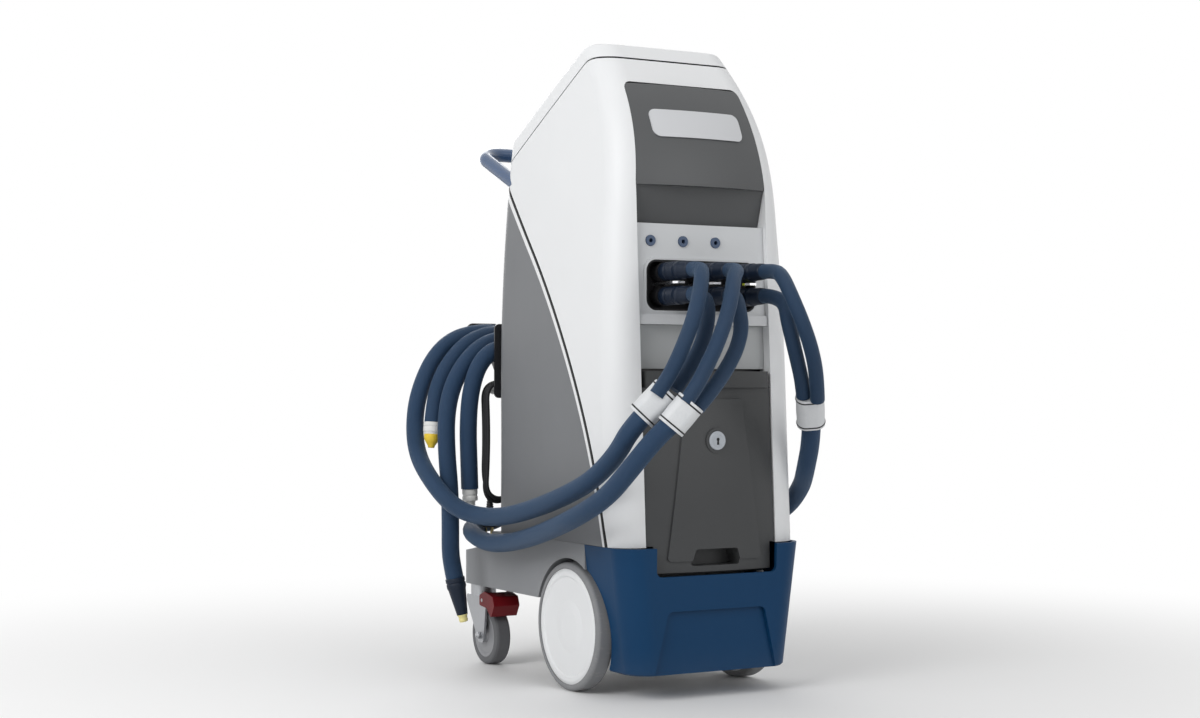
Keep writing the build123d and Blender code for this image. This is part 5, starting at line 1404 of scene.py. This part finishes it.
@dataclass
class PowerLead:
    """The mains lead: its inlet connector, the cord with its hank on the peg, and its plug.

    Attributes:
        before: Control points from the connector to the hank.
        after: Control points from the hank to the plug.
        hank_place: The hank's middle, (x, y of its first turn), in metres.
        top: Height of the hank's top.
        half_width: Half of the hank's width.
        feet: Height of each turn's foot.
        pitch: How far out each turn lies from the one before.
        runs: Runs in each side of a turn.
        waist: How far each side draws in at half height.
        corner: Angle between two control points of a turn's end.
        corners: Control points round a turn's end.
        width: The lead's diameter.
        length: The lead's length; not used.
        inlet: Where the connector meets the inlet.
        connector_size: The connector's sizes on the three axes.
        plug: Where the lead meets the plug's grip.
        grip: Radius of the plug's grip.
        blade_size: A blade's sizes on the three axes.
        blade_gap: How far a blade is from the plug's middle.
        blade_offset: How far the blades lie from the middle on one side, and the pin on the other, along Y.
    """

    before: Sequence[Point]
    after: Sequence[Point]
    hank_place: tuple[float, float] = (-0.1474, 0.1645)
    top: float = 0.488
    half_width: float = 0.0254
    feet: tuple[float, ...] = (0.280, 0.290, 0.284)
    pitch: float = 0.008
    runs: int = 5
    waist: float = 0.003
    corner: float = math.radians(45.0)
    corners: int = 4
    width: float = 0.007
    length: float = 2.013
    inlet: Point = (0.07575, 0.1593, 0.600)
    connector_size: Point = (0.030, 0.031, 0.022)
    plug: Point = (-0.158, 0.187, 0.272)
    grip: float = 0.0125
    blade_size: Point = (0.0016, 0.0064, 0.0174)
    blade_gap: float = 0.0063
    blade_offset: tuple[float, float] = (0.0022, -0.0065)

    def side(self, low: float, high: float, hand: float) -> list[tuple[float, float]]:
        """Control points up one side of a turn.

        Args:
            low: Height of the side's foot.
            high: Height of its top.
            hand: 1 for the side with the larger X, and -1 for the other.

        Returns:
            The points as (x from the hank's middle, z).
        """
        points = []
        for step in range(1, self.runs):
            share = step / self.runs
            x = hand * (self.half_width - self.waist * math.sin(math.pi * share))
            points.append((x, low + share * (high - low)))
        return points

    def hank(self) -> list[Point]:
        """The hank's control points, each turn further out than the one before.

        Returns:
            The points, up one side, over, down the other and under.
        """
        turns = [self.corner * (number + 0.5) for number in range(self.corners)]
        reach = self.half_width / math.cos(self.corner / 2.0)
        bend = self.half_width * math.tan(self.corner / 2.0)
        top = self.top - self.half_width
        over = [(reach * math.cos(turn), top + reach * math.sin(turn)) for turn in turns]
        places = []
        for foot, next_foot in zip(self.feet, (*self.feet[1:], None)):
            places += self.side(foot + self.half_width - bend, top + bend, 1.0) + over
            low = (next_foot or foot) + self.half_width
            places += reversed(self.side(low - bend, top + bend, -1.0))
            if next_foot:
                places += [(-reach * math.cos(turn), low - reach * math.sin(turn)) for turn in turns]
        step = self.pitch / (2 * self.corners + 2 * (self.runs - 1))
        middle, first = self.hank_place
        return [(middle + x, first + step * number, z) for number, (x, z) in enumerate(places)]

    def connector(self) -> list[bpy.types.Object]:
        """The connector in the inlet, with two grip grooves, and its tapered relief.

        Returns:
            The connector and the relief.
        """
        x, y, z = self.inlet
        depth = self.connector_size[1]
        groove = 0.0040
        body = block("lead_connector", (x, y + depth / 2.0, z), self.connector_size)
        for low in (0.010, 0.018):
            for reach in (low, low + groove):
                bpy.ops.mesh.select_all(action="SELECT")
                bpy.ops.mesh.bisect(plane_co=(x, y + reach, z), plane_no=(0.0, 1.0, 0.0))
        for low in (0.010, 0.018):
            choose(body, lambda place, low=low: low - 0.0001 < place.y - y < low + groove + 0.0001)
            bpy.ops.transform.resize(value=(0.93, 1.0, 0.90), center_override=(x, y, z))
        choose(body, lambda place: place.y - y > depth - 0.001)
        bpy.ops.transform.resize(value=(0.72, 1.0, 0.80), center_override=(x, y, z))
        bpy.ops.object.mode_set(mode="OBJECT")
        soften(body, 0.0014, 3)
        relief_place = aim(Vector((x, y + depth - 0.0008, z)), Vector((0.0, 1.0, 0.0)))
        relief = self.relief("lead_connector_relief", relief_place, 0.030)
        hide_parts("power_cord_ends")
        return [keep(body, Finish.BLACK, "root"), relief]

    def relief(self, name: str, place: Matrix, length: float) -> bpy.types.Object:
        """A tapered strain relief with rings cut into it.

        Args:
            name: The piece's name.
            place: Its place, with Z along the cord and away from the body it guards.
            length: Its length.

        Returns:
            The relief.
        """
        rings, wide, taper, cut = 6, 0.0068, 0.0024, 0.0011
        profile = [(0.0070, -0.001)]
        for ring in range(rings):
            reach = length * ring / rings
            radius = wide - taper * ring / rings
            step = length / rings
            profile += [
                (radius, reach), (radius, reach + step * 0.55), (radius - cut, reach + step * 0.62),
                (radius - cut, reach + step * 0.94),
            ]
        profile += [(0.0042, length), (0.0038, length + 0.0004)]
        piece = turned(name, profile, 28)
        settle(piece, place)
        soften(piece, 0.0002, 1)
        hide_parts("power_cord_ends")
        return keep(piece, Finish.BLACK, "root")

    def mains_plug(self) -> list[bpy.types.Object]:
        """The plug with a ribbed grip, its relief, two flat blades and a round pin.

        Returns:
            The plug, the blades, the pin and the relief.
        """
        x, y, z = self.plug
        down = Vector((0.0, 0.0, -1.0))
        place = aim(Vector((x, y, z)), down)
        full, cut, reach_end = self.grip, self.grip - 0.0007, 0.0320
        profile = [(0.0055, 0.0), (0.0095, 0.0120), (full, 0.0150)]
        for ring in range(4):
            reach = 0.0160 + ring * 0.003
            profile += [(full, reach), (cut, reach + 0.0006), (cut, reach + 0.0018), (full, reach + 0.0024)]
        profile += [(full, reach_end - 0.0008), (cut, reach_end)]
        body = turned("mains_plug", profile, 40)
        settle(body, place)
        soften(body, 0.0003)
        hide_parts("power_cord_ends")
        made = [keep(body, Finish.BLACK, "root")]
        blade_y, pin_y = (y + offset for offset in self.blade_offset)
        for number, side in enumerate((-1.0, 1.0), 1):
            blade_x = x + side * self.blade_gap
            blade_z = z - reach_end - 0.0083
            blade = block(f"mains_plug_blade_{number}", (blade_x, blade_y, blade_z), self.blade_size)
            choose(blade, lambda spot: spot.z < z - 0.048)
            bpy.ops.transform.resize(value=(0.55, 0.8, 1.0), center_override=(blade_x, blade_y, z))
            bpy.ops.object.mode_set(mode="OBJECT")
            soften(blade, 0.0003, 1)
            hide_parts("power_cord_ends")
            made.append(keep(blade, Finish.BRASS, "root"))
        pin_profile = [(0.0024, 0.0310), (0.0024, 0.0470), (0.0018, 0.0485), (0.0009, 0.0490)]
        pin = turned("mains_plug_pin", pin_profile, 20)
        settle(pin, aim(Vector((x, pin_y, z)), down))
        soften(pin, 0.0002, 1)
        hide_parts("power_cord_ends")
        made.append(keep(pin, Finish.BRASS, "root"))
        relief_place = aim(Vector((x, y, z - 0.002)), -down)
        made.append(self.relief("mains_plug_relief", relief_place, 0.024))
        return made

    def build(self) -> None:
        """Makes the lead: its connector, its plug and the cord with its hank."""
        ends = self.connector() + self.mains_plug()
        points = [*self.before, *self.hank(), *self.after]
        piece = route("power_lead", points, self.width, Finish.LEAD)
        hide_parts("power_cord")
        keep(piece, Finish.LEAD, "root")


@dataclass
class Screws:
    """Domed screws with a round recess.

    Attributes:
        radius: Radius of the heads.
        rear: Places on the rear panel and the hook's plate, (x, y, z).
    """

    radius: float = 0.0030
    rear: tuple[Point, ...] = (
        (0.118, 0.156, 0.262), (0.118, 0.156, 0.440), (0.118, 0.156, 0.655), (0.118, 0.156, 0.822),
        (-0.118, 0.156, 0.262), (-0.118, 0.156, 0.400), (-0.118, 0.156, 0.655), (-0.118, 0.156, 0.822),
        (-0.122, 0.159, 0.572), (-0.104, 0.159, 0.474),
    )

    def build(self) -> None:
        """Makes one screw and copies it to the other places."""
        full = self.radius
        profile = [
            (full, -0.0004), (full, 0.0006), (full * 0.86, 0.0012), (full * 0.55, 0.0016),
            (full * 0.44, 0.0016), (full * 0.40, 0.0006),
        ]
        first = turned("rear_screw_1", profile, 20)
        home = Vector(self.rear[0])
        settle(first, aim(home, Vector((0.0, 1.0, 0.0))))
        smooth()
        names = [f"rear_screw_{number}" for number in range(2, len(self.rear) + 1)]
        shifts = [tuple(Vector(place) - home) for place in self.rear[1:]]
        for piece in [first, *repeated(first, names, shifts)]:
            keep(piece, Finish.ZINC, "root")


@dataclass
class LatchMark:
    """The dark keyhole and ring on the reservoir's round latch button.

    Attributes:
        ring_radius: Outer radius of the ring.
        hole_radius: Radius of the keyhole.
        hole_rise: How far the keyhole lies above the button's middle.
        slot_drop: How far the slot's middle lies below it.
        slot_size: The slot's sizes on the three axes.
    """

    ring_radius: float = 0.0100
    hole_radius: float = 0.0026
    hole_rise: float = 0.0020
    slot_drop: float = 0.0024
    slot_size: Point = (0.0024, 0.0010, 0.0080)

    def build(self) -> None:
        """Makes the ring and the keyhole, which move with the button."""
        low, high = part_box("reservoir_latch_button")
        face = Vector(((low[0] + high[0]) / 2.0, low[1], (low[2] + high[2]) / 2.0))
        outward = Vector((0.0, -1.0, 0.0))
        full = self.ring_radius
        ring = turned("latch_ring", [
            (full, -0.0002), (full, 0.0004), (full - 0.0008, 0.0006), (full - 0.0012, 0.0004),
            (full - 0.0014, -0.0002),
        ], 48)
        settle(ring, aim(face, outward))
        smooth()
        keep(ring, Finish.BUTTON, "latch_button")
        bore = self.hole_radius
        hole = turned("latch_keyhole", [(bore, -0.0002), (bore, 0.0005), (bore - 0.0005, 0.0007)], 28)
        settle(hole, aim(face + Vector((0.0, 0.0, self.hole_rise)), outward))
        slot_middle = face + Vector((0.0, -0.0002, -self.slot_drop))
        slot = block("latch_keyhole_slot", tuple(slot_middle), self.slot_size)
        choose(slot, lambda spot: spot.z < face.z - 0.005)
        bpy.ops.transform.resize(value=(1.6, 1.0, 1.0), center_override=tuple(face))
        bpy.ops.object.mode_set(mode="OBJECT")
        for piece in (hole, slot):
            soften(piece, 0.0001, 1)
            keep(piece, Finish.BLACK, "latch_button")


@dataclass
class RunningGear:
    """Caps on the main wheels' hubs and nuts on the casters' axles.

    Attributes:
        cap_radius: Radius of a cap.
        cap_seat: How far a cap's foot is from the middle plane.
        nut_radius: Radius of a nut over its corners.
    """

    cap_radius: float = 0.013
    cap_seat: float = 0.1600
    nut_radius: float = 0.0065

    def build(self) -> None:
        """Makes the caps and nuts, each on the body that it turns with."""
        for side in ("left", "right"):
            low, high = (Vector(corner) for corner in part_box(f"main_wheel_{side}"))
            middle = (low + high) / 2.0
            outward = Vector((math.copysign(1.0, middle.x), 0.0, 0.0))
            full = self.cap_radius
            cap = turned(f"hub_cap_{side}", [
                (full, 0.0), (full, 0.0016), (full - 0.0012, 0.0026), (full * 0.6, 0.0034),
                (full * 0.3, 0.0037),
            ], 48)
            seat = Vector((math.copysign(self.cap_seat, middle.x), middle.y, middle.z))
            settle(cap, aim(seat, outward, Vector((0.0, 0.0, 1.0))))
            soften(cap, 0.0003)
            keep(cap, Finish.WHEEL, f"{side}_wheel")
            fork_low, fork_high = (Vector(corner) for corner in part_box(f"caster_fork_{side}"))
            wheel = middle_of(f"caster_wheel_{side}")
            for number, edge in enumerate((fork_low.x, fork_high.x), 1):
                away = Vector((math.copysign(1.0, edge - wheel.x), 0.0, 0.0))
                flat = self.nut_radius
                nut = turned(f"caster_nut_{side}_{number}", [
                    (flat, -0.001), (flat, 0.0030), (flat * 0.8, 0.0038), (flat * 0.5, 0.0038),
                    (flat * 0.5, 0.0052), (flat * 0.4, 0.0056),
                ], 6)
                settle(nut, aim(Vector((edge, wheel.y, wheel.z)), away, Vector((0.0, 0.0, 1.0))))
                soften(nut, 0.0003, 1)
                keep(nut, Finish.ZINC, f"{side}_caster")


# Control points in metres, placed along the hoses and the lead.
HOSE_A_ROUTE = (
    (-0.1783, -0.37, 0.4431), (-0.1985, -0.358, 0.4182), (-0.1965, -0.318, 0.382), (-0.207, -0.262, 0.34),
    (-0.212, -0.167, 0.308), (-0.212, -0.049, 0.281), (-0.215, 0.03, 0.268), (-0.225, 0.089, 0.266),
    (-0.242, 0.124, 0.274), (-0.255, 0.155, 0.291), (-0.265, 0.202, 0.326), (-0.264, 0.252, 0.362),
    (-0.263, 0.27, 0.406), (-0.257, 0.27, 0.464), (-0.231, 0.268, 0.526), (-0.196, 0.2672, 0.561),
    (-0.15, 0.2672, 0.5756), (-0.094, 0.2672, 0.5762), (-0.05, 0.2676, 0.559), (-0.012, 0.269, 0.508),
    (0.006, 0.264, 0.434), (0.012, 0.256, 0.362), (0.036, 0.238, 0.306), (0.078, 0.214, 0.302),
    (0.104, 0.195, 0.344), (0.102, 0.184, 0.408), (0.072, 0.177, 0.466), (0.014, 0.1751, 0.516),
    (-0.042, 0.1751, 0.539), (-0.098, 0.1751, 0.548), (-0.152, 0.1751, 0.548), (-0.184, 0.176, 0.522),
    (-0.196, 0.186, 0.472), (-0.196, 0.195, 0.41), (-0.192, 0.199, 0.352), (-0.19, 0.2, 0.306),
)
BRANCH_A0 = (
    (-0.066, -0.3183, 0.66), (-0.066, -0.345, 0.66), (-0.0836, -0.374, 0.648), (-0.0998, -0.394, 0.62),
    (-0.1166, -0.404, 0.5826), (-0.1328, -0.405, 0.5472), (-0.1458, -0.401, 0.5164),
    (-0.1575, -0.395, 0.4915), (-0.1712, -0.388, 0.4696),
)
BRANCH_A1 = (
    (-0.066, -0.3183, 0.622), (-0.066, -0.342, 0.621), (-0.069, -0.367, 0.608), (-0.0782, -0.382, 0.5809),
    (-0.0889, -0.385, 0.5495), (-0.1034, -0.383, 0.5212), (-0.1189, -0.38, 0.4975),
    (-0.1336, -0.377, 0.4768),
)
HOSE_B_ROUTE = (
    (-0.1559, -0.4069, 0.4287), (-0.1761, -0.3979, 0.4097), (-0.2, -0.362, 0.361), (-0.216, -0.318, 0.316),
    (-0.228, -0.24, 0.282), (-0.218, -0.15, 0.26), (-0.209, -0.06, 0.24), (-0.207, 0.015, 0.227),
    (-0.21, 0.081, 0.221), (-0.212, 0.132, 0.229), (-0.199, 0.18, 0.237), (-0.17, 0.219, 0.241),
    (-0.118, 0.238, 0.247), (-0.076, 0.241, 0.272), (-0.054, 0.24, 0.32), (-0.047, 0.239, 0.385),
    (-0.044, 0.238, 0.45), (-0.044, 0.237, 0.51), (-0.062, 0.2365, 0.552), (-0.098, 0.2365, 0.5724),
    (-0.148, 0.2365, 0.5714), (-0.19, 0.2365, 0.547), (-0.224, 0.2385, 0.502), (-0.238, 0.24, 0.454),
    (-0.242, 0.238, 0.416),
)
BRANCH_B0 = (
    (0, -0.3183, 0.66), (0, -0.345, 0.66), (-0.028, -0.376, 0.6479), (-0.05, -0.404, 0.6178),
    (-0.0711, -0.42, 0.5799), (-0.0907, -0.426, 0.5428), (-0.1085, -0.424, 0.5091),
    (-0.1271, -0.4269, 0.4813), (-0.1435, -0.4229, 0.458),
)
BRANCH_B1 = (
    (0, -0.3183, 0.622), (0, -0.338, 0.621), (-0.0111, -0.364, 0.5991), (-0.0149, -0.378, 0.57),
    (-0.0312, -0.389, 0.538), (-0.0554, -0.396, 0.5065), (-0.0878, -0.4089, 0.4768),
    (-0.114, -0.4089, 0.4504),
)
HOSE_C_ROUTE = (
    (0.1533, -0.322, 0.4338), (0.1656, -0.304, 0.3971), (0.1753, -0.276, 0.3515), (0.203, -0.225, 0.318),
    (0.207, -0.17, 0.276), (0.206, -0.06, 0.246), (0.205, 0.05, 0.24), (0.202, 0.122, 0.247),
    (0.184, 0.184, 0.257), (0.128, 0.21, 0.258), (0.05, 0.215, 0.251),
    (-0.004, 0.212, 0.258), (-0.034, 0.208, 0.298), (-0.043, 0.2065, 0.362), (-0.043, 0.206, 0.44),
    (-0.046, 0.2058, 0.504), (-0.064, 0.2058, 0.5426), (-0.098, 0.2058, 0.5622), (-0.147, 0.2058, 0.561),
    (-0.184, 0.206, 0.537), (-0.216, 0.2086, 0.492), (-0.231, 0.208, 0.436), (-0.232, 0.204, 0.37),
    (-0.23, 0.195, 0.306), (-0.234, 0.184, 0.248), (-0.238, 0.176, 0.204), (-0.2365, 0.1725, 0.18),
    (-0.2315, 0.1705, 0.154),
)
BRANCH_C0 = (
    (0.066, -0.3183, 0.66), (0.066, -0.35, 0.66), (0.0557, -0.384, 0.6483), (0.0555, -0.408, 0.617),
    (0.0679, -0.419, 0.5776), (0.0888, -0.413, 0.5372), (0.1132, -0.392, 0.4964), (0.1315, -0.368, 0.461),
)
BRANCH_C1 = (
    (0.066, -0.3183, 0.622), (0.066, -0.344, 0.621), (0.069, -0.371, 0.609), (0.0626, -0.386, 0.5845),
    (0.0714, -0.388, 0.5496), (0.0877, -0.378, 0.5178), (0.1051, -0.364, 0.4903), (0.1179, -0.35, 0.4671),
)
CORD_BEFORE_HANK = (
    (0.0757, 0.2053, 0.6), (0.0757, 0.2313, 0.6), (0.0838, 0.2553, 0.584), (0.1037, 0.2553, 0.538),
    (0.124, 0.236, 0.474), (0.136, 0.206, 0.402), (0.136, 0.184, 0.33), (0.116, 0.172, 0.274),
    (0.06, 0.169, 0.247), (-0.02, 0.167, 0.243), (-0.076, 0.166, 0.247), (-0.103, 0.165, 0.258),
    (-0.121, 0.1645, 0.282),
)
CORD_AFTER_HANK = (
    (-0.166, 0.187, 0.309), (-0.158, 0.187, 0.292), (-0.158, 0.187, 0.2723),
)


HOSES = (
    Hose(
        name="a", branches=(BRANCH_A0, BRANCH_A1), main=HOSE_A_ROUTE,
        label=((-0.1515, -0.386, 0.4777), (-0.185, -0.366, 0.4368)), broad=(0.627, -0.355, -0.694),
        end=HoseEnd.PLAIN, branch_lengths=(0.268, 0.201), length=2.079,
    ),
    Hose(
        name="b", branches=(BRANCH_B0, BRANCH_B1), main=HOSE_B_ROUTE,
        label=((-0.1317, -0.4219, 0.4601), (-0.1587, -0.4059, 0.4224)), broad=(0.670, -0.379, -0.638),
        end=HoseEnd.CAPPED, branch_lengths=(0.302, 0.246), length=1.388,
    ),
    Hose(
        name="c", branches=(BRANCH_C0, BRANCH_C1), main=HOSE_C_ROUTE,
        label=((0.1265, -0.355, 0.4688), (0.1522, -0.322, 0.4227)), broad=(0.870, -0.492, 0.0),
        end=HoseEnd.TAPERED, branch_lengths=(0.292, 0.220), length=1.602,
    ),
)


def main() -> None:
    """Builds the scene in order."""
    logging.basicConfig(level=logging.INFO, format="%(message)s")
    Studio().build()
    for hose in HOSES:
        hose.build()
    PowerLead(CORD_BEFORE_HANK, CORD_AFTER_HANK).build()
    dress_nodes()
    Connectors().build()
    Screws().build()
    LatchMark().build()
    RunningGear().build()
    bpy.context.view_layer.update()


if __name__ == "__main__":
    main()
